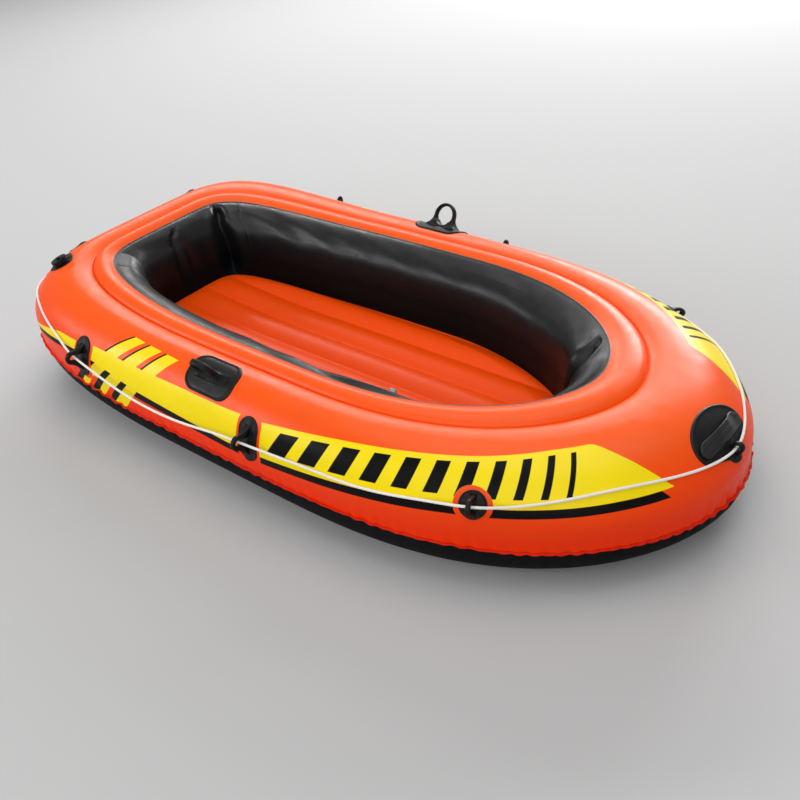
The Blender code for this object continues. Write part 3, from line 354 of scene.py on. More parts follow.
HALF_LENGTH = HULL_LENGTH / 2
HALF_BEAM = HULL_BEAM / 2
BOW_SHARES = station_shares(HALF_LENGTH - WIDEST_X, HALF_BEAM, OUTER_POWERS[0])
STERN_SHARES = station_shares(HALF_LENGTH + WIDEST_X, HALF_BEAM, OUTER_POWERS[1])


def plan_ring(bow_x, stern_x, half_width, powers):
    """A closed plan outline, one point for each station."""
    x, y, share, _ = quarter_samples(bow_x - WIDEST_X, half_width, powers[0])
    bow = np.stack([WIDEST_X + np.interp(BOW_SHARES, share, x), np.interp(BOW_SHARES, share, y)], 1)
    x, y, share, _ = quarter_samples(WIDEST_X - stern_x, half_width, powers[1])
    stern = np.stack([WIDEST_X - np.interp(STERN_SHARES, share, x), np.interp(STERN_SHARES, share, y)], 1)
    port = np.concatenate([bow, stern[-2::-1]])
    starboard = port[-2:0:-1] * (1.0, -1.0)
    return np.concatenate([port, starboard])


RIM_BOW_X = HALF_LENGTH - BOW_TUBE_WIDTH
RIM_STERN_X = STERN_TUBE_WIDTH - HALF_LENGTH
RIM_HALF_WIDTH = HALF_BEAM - SIDE_TUBE_WIDTH
FLOOR_BOW_X = RIM_BOW_X - BOW_WALL_INSET
FLOOR_STERN_X = RIM_STERN_X + STERN_WALL_INSET
FLOOR_HALF_WIDTH = RIM_HALF_WIDTH - SIDE_WALL_INSET
CHANNEL_PITCH = 2 * (FLOOR_HALF_WIDTH - FLOOR_EDGE_WIDTH) / FLOOR_CHANNELS
FIRST_CHANNEL_Y = -CHANNEL_PITCH * (FLOOR_CHANNELS - 1) / 2

OUTER_RING = plan_ring(HALF_LENGTH, -HALF_LENGTH, HALF_BEAM, OUTER_POWERS)
RIM_RING = plan_ring(RIM_BOW_X, RIM_STERN_X, RIM_HALF_WIDTH, RIM_POWERS)
FLOOR_RING = plan_ring(FLOOR_BOW_X, FLOOR_STERN_X, FLOOR_HALF_WIDTH, FLOOR_POWERS)


def way_round(ring):
    """Length along a closed ring at each station, from the bow over port, and the whole length."""
    way = way_along(np.concatenate([ring, ring[:1]]))
    return way[:-1], way[-1]


AROUND, PERIMETER = way_round(OUTER_RING)
FROM_BOW = np.minimum(AROUND, PERIMETER - AROUND)
RIM_AROUND, RIM_TOTAL = way_round(RIM_RING)
UP = np.array([0.0, 0.0, 1.0])


def level_way(start, end):
    """Level unit vectors from one ring to another."""
    away = np.concatenate([end - start, np.zeros((STATIONS, 1))], 1)
    return away / np.linalg.norm(away, axis=1)[:, None]


def rise(x):
    behind = np.maximum(0.0, RISE_START_X - x)
    return STERN_RISE * (behind / (HALF_LENGTH + RISE_START_X)) ** 2


def rows_between(start, end, shares, heights):
    """A grid with one row for each share of the way from one ring to another."""
    shares = np.asarray(shares, float)[:, None, None]
    plan = start[None] * (1 - shares) + end[None] * shares
    z = np.asarray(heights, float)[:, None] + rise(plan[..., 0])
    return np.concatenate([plan, z[..., None]], 2)


# Grids of points

def grid_normals(grid):
    """Unit normals, out of the sheet where columns run round the boat and rows run up."""
    along = np.roll(grid, -1, 1) - np.roll(grid, 1, 1)
    normal = np.cross(along, np.gradient(grid, axis=0))
    return normal / np.maximum(np.linalg.norm(normal, axis=2, keepdims=True), 1e-12)


def girth_of(grid):
    """Length along each column from the first row."""
    steps = np.linalg.norm(np.diff(grid, axis=0), axis=2)
    return np.concatenate([np.zeros((1, grid.shape[1])), np.cumsum(steps, 0)])


def sheet_uv(along, up):
    """Texture places in metres: one length along for each column, and one up for each point."""
    return np.stack([np.broadcast_to(along, up.shape), up], 2)


def smooth_curve(points, count):
    """Points evenly spaced on a smooth curve through the given ones."""
    points = np.asarray(points, float)
    padded = np.concatenate([[2 * points[0] - points[1]], points, [2 * points[-1] - points[-2]]])
    dense = []
    for a, b, c, d in zip(padded, padded[1:], padded[2:], padded[3:], strict=False):
        t = np.linspace(0.0, 1.0, 33)[:-1, None]
        bend = (2 * a - 5 * b + 4 * c - d) * t**2
        dense.append(0.5 * (2 * b + (c - a) * t + bend + (3 * b - a - 3 * c + d) * t**3))
    dense = np.concatenate(dense + [points[-1:]])
    return evenly(dense, count)


def periodic_noise(around, total, waves, seed):
    """A smooth random wave round a closed line, about -1 to 1, with wave counts in a range."""
    source = np.random.RandomState(seed)
    counts = np.arange(waves[0], waves[1])
    phases = source.uniform(0.0, 2 * math.pi, len(counts))
    sizes = source.uniform(0.4, 1.0, len(counts))
    angles = 2 * math.pi * around[..., None] / total * counts + phases
    return (np.cos(angles) * sizes).sum(-1) / np.sqrt((sizes**2).sum()) / 1.2


def grid_faces(rows, columns, close_columns=False, close_rows=False):
    row = np.arange(rows if close_rows else rows - 1)[:, None]
    column = np.arange(columns if close_columns else columns - 1)[None]
    low, high = row * columns, (row + 1) % rows * columns
    following = (column + 1) % columns
    faces = np.stack([low + column, low + following, high + following, high + column], 2)
    return faces.reshape(-1, 4)


# Pieces

def make_piece(name, points, faces, material, uv=None, replaces=()):
    """A mesh piece that rides on the hull, with texture coordinates in metres where they are given."""
    mesh = bpy.data.meshes.new(name)
    mesh.from_pydata(np.asarray(points, float).reshape(-1, 3).tolist(), [], [tuple(f) for f in faces])
    if uv is not None:
        layer = mesh.uv_layers.new(name="UVMap")
        corner = np.zeros(len(mesh.loops), np.int32)
        mesh.loops.foreach_get("vertex_index", corner)
        layer.data.foreach_set("uv", np.asarray(uv, np.float32).reshape(-1, 2)[corner].ravel())
    mesh.shade_smooth()
    mesh.materials.append(material)
    piece = bpy.data.objects.new(name, mesh)
    bpy.context.scene.collection.objects.link(piece)
    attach(piece, "hull")
    if replaces:
        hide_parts(*replaces)
    return piece


def make_sheet(name, grid, material, uv, replaces=(), closed=True, hole=None):
    """A sheet over a grid of points, cut away round the middle of a valve where one is given."""
    faces = grid_faces(grid.shape[0], grid.shape[1], close_columns=closed)
    if hole is not None:
        away = np.linalg.norm(grid.reshape(-1, 3) - np.array(hole), axis=1)
        faces = faces[away[faces].min(1) > VALVE_HOLE]
    make_piece(name, grid, faces, material, uv, replaces)


# Materials

class Nodes:
    """Short names for the nodes of one material."""

    def __init__(self, name, colour, roughness, **sockets):
        self.material = bpy.data.materials.new(name)
        self.material.use_nodes = True
        self.tree = self.material.node_tree
        self.shader = self.tree.nodes["Principled BSDF"]
        self.look(Base_Color=(*colour, 1.0), Roughness=roughness, **sockets)

    def add(self, kind, **settings):
        node = self.tree.nodes.new(kind)
        for key, value in settings.items():
            setattr(node, key, value)
        return node

    def join(self, source, socket):
        if isinstance(source, (int, float, tuple)):
            socket.default_value = source
        else:
            self.tree.links.new(source, socket)

    def fill(self, node, **values):
        """Joins or sets sockets by name, with _ for each space."""
        for name, value in values.items():
            self.join(value, node.inputs[name.replace("_", " ")])

    def look(self, **values):
        self.fill(self.shader, **values)

    def math(self, operation, *values, clamp=False):
        node = self.add("ShaderNodeMath", operation=operation, use_clamp=clamp)
        for value, socket in zip(values, node.inputs, strict=False):
            self.join(value, socket)
        return node.outputs[0]

    def minus(self, first, second):
        return self.math("SUBTRACT", first, second)

    def times_plus(self, first, factor, more):
        return self.math("MULTIPLY_ADD", first, factor, more)

    def place(self):
        return self.add("ShaderNodeTexCoord").outputs["Object"]

    def axes(self, place):
        node = self.add("ShaderNodeSeparateXYZ")
        self.fill(node, Vector=place)
        return node.outputs

    def skin_axes(self):
        return self.axes(self.add("ShaderNodeUVMap", uv_map="UVMap").outputs[0])

    def noise(self, place, scale, detail, roughness=0.5):
        node = self.add("ShaderNodeTexNoise")
        self.fill(node, Vector=place, Scale=scale, Detail=detail, Roughness=roughness)
        return node.outputs["Fac"]

    def spread(self, value, low, high, source=(0.3, 0.7)):
        """A value mapped from the range it mostly has to a wanted range."""
        node = self.add("ShaderNodeMapRange")
        self.fill(node, Value=value, From_Min=source[0], From_Max=source[1], To_Min=low, To_Max=high)
        return node.outputs["Result"]

    def mix(self, share, first, second):
        node = self.add("ShaderNodeMix", data_type="RGBA")
        self.join(share, node.inputs["Factor"])
        for value, socket in ((first, node.inputs[6]), (second, node.inputs[7])):
            self.join((*value, 1.0) if isinstance(value, tuple) else value, socket)
        return node.outputs[2]

    def mottled(self, place, noise, colour):
        """A colour that wanders a little darker."""
        share = self.spread(self.noise(place, *noise), 0.0, 1.0)
        return self.mix(share, tuple(0.95 * part for part in colour), colour)

    def bump(self, *layers):
        """Bump layers, each a height and how deep it is in metres."""
        normal = None
        for height, depth in layers:
            node = self.add("ShaderNodeBump")
            self.fill(node, Distance=depth, Height=height)
            if normal is not None:
                self.fill(node, Normal=normal)
            normal = node.outputs["Normal"]
        self.look(Normal=normal)


ORANGE = (0.97, 0.1, 0.0015)
# Painted shade: the deeper orange that the hull's side takes towards the seam, where less light falls
SHADED_ORANGE = (0.93, 0.036, 0.0005)
FLOOR_ORANGE = (0.98, 0.078, 0.001)
YELLOW = (0.98, 0.76, 0.0)
PRINT_BLACK = (0.004, 0.004, 0.004)
SHEET_BLACK = (0.009, 0.009, 0.0094)
WALL_FOOT_BLACK = (0.0016, 0.0055, 0.006)
WALL_SHADE = (0.16, 0.27)
# Girths up from the seam over which the hull's painted shade fades out
SHADE_GIRTHS = (0.02, 0.2)
MOULDED_BLACK = (0.0045, 0.0045, 0.0049)
# The welded edge's own orange-red, darkened with painted shade along the seam
SHADED_WELD_RED = (0.66, 0.016, 0.001)
WELD_GREY = (0.06, 0.045, 0.044)
GRIP_GREY = (0.02, 0.02, 0.021)
ROPE_WHITE = (0.86, 0.82, 0.77)
CLEAR_GREY = (0.55, 0.56, 0.57)

# Shine that changes with a share: factor, and shine at no share
WALL_SHEEN = (0.34, 0.06)
DEEP_SHEEN = (-0.2, 0.3)
PRINT_SHEEN = (-0.22, 0.3)

# Noises: their scale a metre, detail and roughness. Depths of bumps, in metres
VINYL_GRAIN = (900.0, 3.0, 0.6)
VINYL_GRAIN_DEPTH = 0.00006
VINYL_SLOW = (9.0, 2.0)
VINYL_SLOW_DEPTH = 0.0015
VINYL_GLOSS = (34.0, 3.0)
MOULD_GRAIN = (1400.0, 2.0, 0.6)
MOULD_GRAIN_DEPTH = 0.00005
MOULD_GLOSS = (60.0, 3.0)
ORANGE_TINT = (5.0, 3.0)
YELLOW_TINT = (12.0, 4.0)


def vinyl(name, colour, roughness, **sockets):
    """Soft sheet vinyl: fine grain, slow unevenness and a little change in gloss."""
    nodes = Nodes(name, colour, roughness, **sockets)
    place = nodes.place()
    fine, slow = nodes.noise(place, *VINYL_GRAIN), nodes.noise(place, *VINYL_SLOW)
    nodes.look(Roughness=nodes.spread(nodes.noise(place, *VINYL_GLOSS), roughness - 0.05, roughness + 0.06))
    nodes.bump((slow, VINYL_SLOW_DEPTH), (fine, VINYL_GRAIN_DEPTH))
    return nodes


def moulded(name, colour=MOULDED_BLACK, roughness=0.42):
    """Moulded vinyl, a little less even in gloss than the sheets."""
    nodes = Nodes(name, colour, roughness, Specular_IOR_Level=0.24)
    place = nodes.place()
    nodes.look(Roughness=nodes.spread(nodes.noise(place, *MOULD_GLOSS), roughness - 0.06, roughness + 0.08))
    nodes.bump((nodes.noise(place, *MOULD_GRAIN), MOULD_GRAIN_DEPTH))
    return nodes.material


hull_orange = vinyl("hull_orange", ORANGE, 0.34, Specular_IOR_Level=0.3)
hull_black = vinyl("hull_black", SHEET_BLACK, 0.5, Specular_IOR_Level=0.02).material
wall_black = vinyl("wall_black", SHEET_BLACK, 0.36, Specular_IOR_Level=0.4)
floor_orange = vinyl("floor_orange", FLOOR_ORANGE, 0.42, Specular_IOR_Level=0.16).material
shaded_weld_red = vinyl("shaded_weld_red", SHADED_WELD_RED, 0.5, Specular_IOR_Level=0.1).material
weld_grey = vinyl("weld_grey", WELD_GREY, 0.45).material
inner_vinyl = vinyl("inner_vinyl", CLEAR_GREY, 0.5).material
moulded_black = moulded("moulded_black")
clear_vinyl = moulded("clear_vinyl", CLEAR_GREY, 0.25)
grip_grey = moulded("grip_grey", GRIP_GREY, 0.36)
rope_white = moulded("rope_white", ROPE_WHITE, 0.8)


# Hull skins

def quarter_turn(steps):
    """Sines and cosines of a quarter turn, without its first angle."""
    angle = np.linspace(0.0, math.pi / 2, steps)[1:]
    return np.sin(angle), np.cos(angle).clip(0.0)


def top_profile():
    """Share of the tube's width and height for the top skin's rows, from the seam up to the rim."""
    climb = np.linspace(0, 1, 9) ** 1.3
    rows = [(0.0 * climb, between(SEAM_HEIGHT, WIDEST_HEIGHT, climb))]
    sine, cosine = quarter_turn(25)
    power = 2 / OUTER_LOBE_POWER
    share = OUTER_CREST_SHARE * (1 - cosine**power)
    rows.append((share, between(WIDEST_HEIGHT, OUTER_CREST_HEIGHT, sine**power)))
    sine, cosine = quarter_turn(9)
    share = between(OUTER_CREST_SHARE, CREASE_SHARE, sine**SHOULDER_POWER)
    rows.append((share, between(CREASE_HEIGHT, OUTER_CREST_HEIGHT, cosine**SHOULDER_POWER)))
    share = between(INNER_CREST_SHARE, CREASE_SHARE, cosine)
    rows.append((share, between(CREASE_HEIGHT, INNER_CREST_HEIGHT, sine)))
    fall = np.linspace(0.0, 1.0, 6)[1:]
    rows.append((between(INNER_CREST_SHARE, 1.0, fall), between(INNER_CREST_HEIGHT, RIM_HEIGHT, fall**2)))
    return np.concatenate([np.column_stack(part) for part in rows])


SEAM_PUCKERS = periodic_noise(AROUND, PERIMETER, PUCKER_WAVES, PUCKER_SEED)
FINE_PUCKERS = periodic_noise(AROUND, PERIMETER, FINE_WAVES, PUCKER_SEED + 1)
SEAM_SCALLOPS = np.abs(periodic_noise(AROUND, PERIMETER, SCALLOP_WAVES, PUCKER_SEED + 2))
SKIN_PUCKERS = SEAM_PUCKER * (SEAM_PUCKERS + 0.4 * FINE_PUCKERS)
PROFILE = top_profile()


def puckered(grid, from_seam, puckers):
    """A skin pushed out by puckers that fade with the length from the seam."""
    fade = np.exp(-from_seam / SEAM_PUCKER_FADE)
    return grid + grid_normals(grid) * (puckers * fade)[..., None]


def top_grid():
    grid = rows_between(OUTER_RING, RIM_RING, PROFILE[:, 0], PROFILE[:, 1])
    return puckered(grid, girth_of(grid), SKIN_PUCKERS)


TOP_GRID = top_grid()
TOP_GIRTH = girth_of(TOP_GRID)


def bottom_grid():
    sine, cosine = quarter_turn(17)
    power = 2 / BILGE_POWER
    shares = [0.0, *(BILGE_SHARE * (1 - cosine**power)), 0.75, 1.0]
    heights = [SEAM_HEIGHT, *(SEAM_HEIGHT * (1 - sine**power)), 0.0, 0.0]
    outer = rows_between(OUTER_RING, RIM_RING, shares, heights)
    inner = rows_between(RIM_RING, FLOOR_RING, [0.5, 1.0], [0.0, 0.0])
    grid = np.concatenate([outer, inner])[::-1]
    return puckered(grid, girth_of(grid[::-1])[::-1], SKIN_PUCKERS - UNDER_SEAM)


def hull_skins():
    uv = sheet_uv(FROM_BOW, TOP_GIRTH)
    make_sheet("hull_top", TOP_GRID, hull_orange.material, uv, ["hull_top_skin"])
    grid = bottom_grid()
    uv = sheet_uv(FROM_BOW, girth_of(grid))
    make_sheet("hull_bottom", grid, hull_black, uv, ["hull_bottom_skin"])


# Half of the welded edge's section: shares of its reach and of its half thickness
FLANGE_SECTION = ((-0.002, 1), (0.3, 1), (0.7, 1), (1.0, 0.6))


def seam_flange():
    """The welded edge round the hull: a thin strip that waves where the skins pucker."""
    outward = level_way(RIM_RING, OUTER_RING)
    level, scallop, fine = EDGE_WAVE
    wave = (level + scallop * SEAM_SCALLOPS + fine * FINE_PUCKERS)[:, None]
    rows = []
    for out, side in FLANGE_SECTION + tuple((out, -side) for out, side in FLANGE_SECTION[::-1]):
        free = max(out, 0.0)
        height = side * FLANGE_THICKNESS / 2 - FLANGE_DROOP * free**1.5 + wave * free
        rows.append(TOP_GRID[0] + outward * (SEAM_FLANGE * out + EDGE_WAVE_OUT * wave * free) + UP * height)
    grid = np.stack(rows)[::-1]
    uv = sheet_uv(AROUND, np.broadcast_to(np.arange(len(rows))[:, None] * FLANGE_ROW_STEP, grid.shape[:2]))
    faces = grid_faces(len(rows), STATIONS, close_columns=True, close_rows=True)
    # The edge's deeper red is the skin's orange-red with painted shade along the seam
    make_piece("seam_flange", grid, faces, shaded_weld_red, uv)


# Share of the way from the rim to the floor, and height
WALL_PROFILE = [
    (0.0, RIM_HEIGHT),
    (0.16, 0.2795),
    (0.36, 0.2705),
    (0.56, 0.2585),
    (0.72, 0.2455),
    (0.84, 0.2275),
    (0.92, 0.202),
    (0.985, 0.165),
    (1.01, 0.13),
    (1.01, 0.108),
    (0.985, FLOOR_HEIGHT - 0.004),
]

# Folds in the cockpit wall: ways round the rim at its top and at its foot, depth, half width, the share
# of the way down where it starts, and the part of its depth that it has on the starboard side
WALL_FOLDS = (
    (0.168, 0.07, 0.03, 0.016, 0.1, 0.1),
    (1.623, 1.64, 0.032, 0.017, 0.06, 0.1),
    (1.79, 1.835, 0.012, 0.014, 0.25, 0.5),
)


def wall_fold(around, share, top, foot, pull, half, start):
    """How far one fold pulls the wall in, and the lips that rise beside it."""
    wander = FOLD_WANDER * np.sin(FOLD_WANDER_RATE * share + min(top, RIM_TOTAL - top) * FOLD_WANDER_SHIFT)
    away = np.abs(around - between(top, foot, share) - wander)
    away = np.minimum(away, RIM_TOTAL - away)
    growth = np.clip((share - start) / FOLD_TOP_FADE, 0.0, 1.0) ** FOLD_GROWTH_POWER
    width = half * (FOLD_TOP_WIDTH + FOLD_WIDENING * share)
    lips = FOLD_LIP * bell(away - FOLD_LIP_AWAY * width, FOLD_LIP_HALF * width)
    return pull * growth * (bell(away, width, FOLD_POWER) - lips)


def wall_folds(around, share):
    """How far the wall is pulled in at its folds on both sides."""
    depth = 0.0
    for top, foot, pull, half, start, starboard in WALL_FOLDS:
        depth += wall_fold(around, share, top, foot, pull, half, start)
        depth += wall_fold(around, share, RIM_TOTAL - top, RIM_TOTAL - foot, pull * starboard, half, start)
    return depth


def wall_creases(around, share):
    """Small slanted wrinkles that gather beside the stern folds."""
    total = 0.0
    for middle in CREASE_PLACES + tuple(RIM_TOTAL - place for place in CREASE_PLACES):
        away = around - middle
        wrinkles = np.sin(CREASE_RATE * away + CREASE_SLANT * share) * half_wave(share, 1.0) ** 2
        total += CREASE_DEPTH * bell(away, CREASE_SPREAD) * wrinkles
    return total


def wall_swell(share):
    """How far the wall stands into the cockpit: a swell astern, and a hollow under the rim forward."""
    x, y = RIM_RING.T
    aft = np.clip((SWELL_START_X - x) / SWELL_RUN, 0.0, 1.0)
    swell = WALL_SWELL * (LEAST_SWELL + aft) * half_wave(share, SWELL_END) ** SWELL_POWER
    starboard = gentle_step(0.5 - y / SINK_FADE)
    fore = np.clip((x - SINK_START_X) / SINK_RUN, 0.0, 1.0) * between(PORT_SINK, 1.0, starboard)
    past_valve = gentle_step((x - INNER_VALVE[0]) / VALVE_SEAT)
    ledge = LEDGE_SINK * half_wave(share, LEDGE_END) ** SINK_POWER
    belly = BELLY_SINK * half_wave(share, BELLY_END) ** SINK_POWER
    return swell - fore * between(ledge, belly, past_valve)


def cockpit_wall():
    profile = smooth_curve(WALL_PROFILE, WALL_STEPS)
    grid = rows_between(RIM_RING, FLOOR_RING, profile[:, 0], profile[:, 1])[::-1]
    share = np.linspace(1.0, 0.0, WALL_STEPS)[:, None]
    around = RIM_AROUND[None]
    undulation = periodic_noise(around + 0.3 * share, RIM_TOTAL, WALL_WAVES, WALL_SEED)
    undulation = undulation * half_wave(share, 1.0)
    welds = bell(around - SIDE_WELD, SIDE_WELD_HALF) + bell(RIM_TOTAL - around - SIDE_WELD, SIDE_WELD_HALF)
    offset = wall_swell(share) + WALL_UNDULATION * undulation + wall_creases(around, share)
    offset += SIDE_WELD_BEAD * welds * (share > SIDE_WELD_TOP) - wall_folds(around, share)
    offset *= np.clip(share / WALL_TOP_FADE, 0.0, 1.0) * np.clip((1.0 - share) / WALL_FOOT_FADE, 0.0, 1.0)
    grid = (grid - grid_normals(grid) * offset[..., None])[:, ::-1]
    uv = sheet_uv(RIM_AROUND[::-1], girth_of(grid))
    skin = ["cockpit_wall_skin"]
    make_sheet("cockpit_wall", grid, wall_black.material, uv, skin, hole=INNER_VALVE)


def paint_wall(nodes):
    """Less gloss and a deeper black towards the wall's foot, where no light falls."""
    share = nodes.spread(nodes.axes(nodes.place())[2], 0.0, 1.0, WALL_SHADE)
    black = nodes.mix(share, WALL_FOOT_BLACK, SHEET_BLACK)
    nodes.look(Base_Color=black, Specular_IOR_Level=nodes.times_plus(share, *WALL_SHEEN))


# Section of the rim's weld in bead thicknesses: inward of the rim and above it
RIM_SECTION = ((-2.6, -0.4), (-2.2, 0.5), (-1.0, 1.0), (0.4, 1.1), (1.7, 0.7), (2.4, -0.1), (2.6, -1.4))


def rim_weld():
    """The flat bead where the hull's top skin and the cockpit wall are welded together."""
    inward = level_way(RIM_RING, FLOOR_RING)
    ribs = RIM_RIB * np.cos(2 * math.pi * RIM_AROUND / RIM_TOTAL * RIM_RIB_COUNT)[:, None]
    rows = []
    for across, height in RIM_SECTION:
        lift = height * RIM_BEAD + (ribs if height > 0.4 else 0.0)
        rows.append(TOP_GRID[-1] + inward * across * RIM_BEAD + UP * lift)
    grid = np.stack(rows)
    uv = sheet_uv(RIM_AROUND, np.zeros(grid.shape[:2]))
    make_sheet("rim_weld", grid[:, ::-1], weld_grey, uv)


def floor_end(y, run, powers):
    return run * np.maximum(0.0, 1.0 - np.abs(y / FLOOR_HALF_WIDTH) ** powers[1]) ** (1 / powers[0])


def floor_level(x, y):
    bow = x > WIDEST_X
    run = np.where(bow, FLOOR_BOW_X - WIDEST_X, WIDEST_X - FLOOR_STERN_X)
    length_power = np.where(bow, FLOOR_POWERS[0][0], FLOOR_POWERS[1][0])
    width_power = np.where(bow, FLOOR_POWERS[0][1], FLOOR_POWERS[1][1])
    return np.abs((x - WIDEST_X) / run) ** length_power + np.abs(y / FLOOR_HALF_WIDTH) ** width_power


def floor_grid(lift):
    """Lines across the floor's width that each run from the stern edge to the bow edge."""
    ys = FLOOR_HALF_WIDTH * np.sin(np.linspace(-math.pi / 2, math.pi / 2, 181))
    bow_end = WIDEST_X + floor_end(ys, FLOOR_BOW_X - WIDEST_X, FLOOR_POWERS[0])
    stern_end = WIDEST_X - floor_end(ys, WIDEST_X - FLOOR_STERN_X, FLOOR_POWERS[1])
    share = (1 - np.cos(np.linspace(0.0, math.pi, 241))) / 2
    x = stern_end[:, None] + (bow_end - stern_end)[:, None] * share[None]
    y = np.broadcast_to(ys[:, None], x.shape)
    return np.stack([x, y, lift(x, y)], 2)


def channel_height(x, y):
    fade = np.clip((1.0 - floor_level(x, y)) / FLOOR_FADE, 0.0, 1.0) ** FLOOR_FADE_POWER
    crown = np.abs(np.cos(math.pi * (y - FIRST_CHANNEL_Y) / CHANNEL_PITCH)) ** CHANNEL_POWER
    return FLOOR_HEIGHT + rise(x) + CHANNEL_RISE * fade * crown


def floor_sheets():
    top = floor_grid(channel_height)
    sheet = ["floor_top_sheet"]
    make_sheet("floor_top", top, floor_orange, top[..., :2], sheet, False, FLOOR_VALVE)
    low = floor_grid(lambda x, y: rise(x))[::-1]
    make_sheet("floor_bottom", low, hull_black, low[..., :2], ["floor_bottom_sheet"], False)


# Places on the hull

PROBE_HEIGHT = 0.08
CREST_ROW = int(np.argmax(PROFILE[:, 1] >= OUTER_CREST_HEIGHT))
HULL_TREE = BVHTree.FromPolygons(
    [tuple(point) for point in TOP_GRID.reshape(-1, 3)],
    [tuple(face) for face in grid_faces(TOP_GRID.shape[0], STATIONS, close_columns=True)],
)


def row_at_height(height):
    return float(np.interp(height, PROFILE[: CREST_ROW + 1, 1], np.arange(CREST_ROW + 1)))


def row_at_share(share):
    return float(np.interp(share, PROFILE[:, 0], np.arange(len(PROFILE))))


def grid_point(row, station):
    """A point on the top skin at a row and a station that needn't be whole numbers."""
    low_row, low_station = math.floor(row), math.floor(station)
    rows = TOP_GRID[[low_row, min(low_row + 1, len(PROFILE) - 1)]]
    first, second = rows[:, low_station % STATIONS], rows[:, (low_station + 1) % STATIONS]
    low, high = between(first, second, station - low_station)
    return between(low, high, row - low_row)


def hull_frame(row, station, lift=0.0):
    """X along the hull, Y up its section and Z out of it, at a place on the top skin."""
    along = Vector(grid_point(row, station + 3) - grid_point(row, station - 3)).normalized()
    up = Vector(grid_point(row + 0.5, station) - grid_point(row - 0.5, station))
    out = along.cross(up).normalized()
    up = out.cross(along)
    turn = Matrix((along, up, out)).transposed().to_4x4()
    return Matrix.Translation(Vector(grid_point(row, station)) + out * lift) @ turn


def station_at(row, start, end, axis, value):
    """The station between two others where a row of the top skin has a value of X or Y."""
    stations = np.arange(start, end)
    places = np.array([grid_point(row, station)[axis] for station in stations])
    order = np.argsort(places)
    return float(np.interp(value, places[order], stations[order]))


def side_station(row, x, side):
    start = 0 if side > 0 else STATIONS // 2
    return station_at(row, start, start + STATIONS // 2 + 1, 0, x)


def stern_station(row, y):
    return station_at(row, STATIONS * 3 // 8, STATIONS * 5 // 8, 1, y)


def on_hull(spot, x, y, lift):
    """The place on the hull under a point beside a spot, raised off the hull."""
    start = spot @ Vector((x, y, PROBE_HEIGHT))
    direction = -spot.col[2].xyz
    hit, normal, _, _ = HULL_TREE.ray_cast(start, direction)
    if hit is None:
        return spot @ Vector((x, y, lift))
    return hit + normal * lift * (1 if normal.dot(direction) < 0 else -1)


# Flat outlines

def arc(middle_x, middle_y, radius_x, radius_y, start, end, steps):
    angles = np.radians(np.linspace(start, end, steps + 1))
    return np.stack([middle_x + radius_x * np.cos(angles), middle_y + radius_y * np.sin(angles)], 1)


def rounded_outline(length, width, radius):
    corners = []
    for side_x, side_y, start in ((1, 1, 0), (-1, 1, 90), (-1, -1, 180), (1, -1, 270)):
        middle = (side_x * (length / 2 - radius), side_y * (width / 2 - radius))
        corners.append(arc(*middle, radius, radius, start, start + 90, CORNER_STEPS))
    return np.concatenate(corners)


def join_meshes(parts):
    """One list of points and one of faces from several."""
    points, faces, count = [], [], 0
    for part_points, part_faces in parts:
        part_points = np.asarray(part_points, float).reshape(-1, 3)
        points.append(part_points)
        faces += [tuple(int(i) + count for i in face) for face in part_faces]
        count += len(part_points)
    return np.concatenate(points), faces


# Fittings

# A patch's rings as shares of its outline, and its edge as shares and heights over the hull
PAD_EDGE = ((1.0, PAD_THICKNESS * 0.75), (1.006, PAD_THICKNESS * 0.35), (1.006, -0.0006))
PAD_SHARES = (0.12, 0.24, 0.36, 0.48, 0.6, 0.7, 0.78, 0.84, 0.88, 0.91, 0.94, 0.965, 0.985)


def pad_shape(spot, outline, relief, count=96):
    """A moulded patch on the hull: relief gives its height over the hull at a share of the way out."""
    outline = evenly(np.concatenate([outline, outline[:1]]), count, endpoint=False)
    middle = (outline.max(0) + outline.min(0)) / 2
    rings = []
    for share in PAD_SHARES:
        flat = middle + (outline - middle) * share
        rings.append([on_hull(spot, x, y, relief(x, y, share)) for x, y in flat])
    for grown, lift in PAD_EDGE:
        flat = middle + (outline - middle) * grown
        rings.append([on_hull(spot, x, y, lift) for x, y in flat])
    centre = on_hull(spot, *middle, relief(*middle, 0.0))
    points = [centre, *(point for ring in rings for point in ring)]
    faces = [(0, 1 + i, 1 + (i + 1) % count) for i in range(count)]
    faces += [tuple(int(v) + 1 for v in face) for face in outward_rings(len(rings), count)]
    return points, faces


def outward_rings(rings, count):
    """Faces between rings that run anticlockwise, each outside the one before it."""
    return [face[::-1] for face in grid_faces(rings, count, close_columns=True)]


def bevelled_plate(spot, outer, inner, thickness, bevel):
    """A plate with a hole through it, its edges rounded over; both outlines have the same points."""
    half = np.broadcast_to(np.asarray(thickness, float) / 2, (len(outer),))
    inward = inner - outer
    inward /= np.maximum(np.linalg.norm(inward, axis=1), 1e-9)[:, None]
    rounding = ((1.0, 0.0), (0.3, 0.3), (0.0, 1.0))
    rows = []
    for outline, side in ((outer, 1.0), (inner, -1.0)):
        for face, steps in ((side, rounding), (-side, rounding[::-1])):
            for inset, drop in steps:
                rows.append((outline + inward * (side * bevel * inset), face * (half - bevel * drop)))
    local = np.array([np.column_stack([flat, height]) for flat, height in rows])
    faces = grid_faces(len(rows), len(outer), close_columns=True, close_rows=True)
    return place_points(spot, local), faces


def place_points(spot, local):
    turn = np.array(spot)
    return np.asarray(local) @ turn[:3, :3].T + turn[:3, 3]


UP_SECTION = Matrix(((0, 0, 1, 0), (1, 0, 0, 0), (0, 1, 0, 0), (0, 0, 0, 1)))
ALONG_HULL = Matrix(((1, 0, 0, 0), (0, 0, -1, 0), (0, 1, 0, 0), (0, 0, 0, 1)))


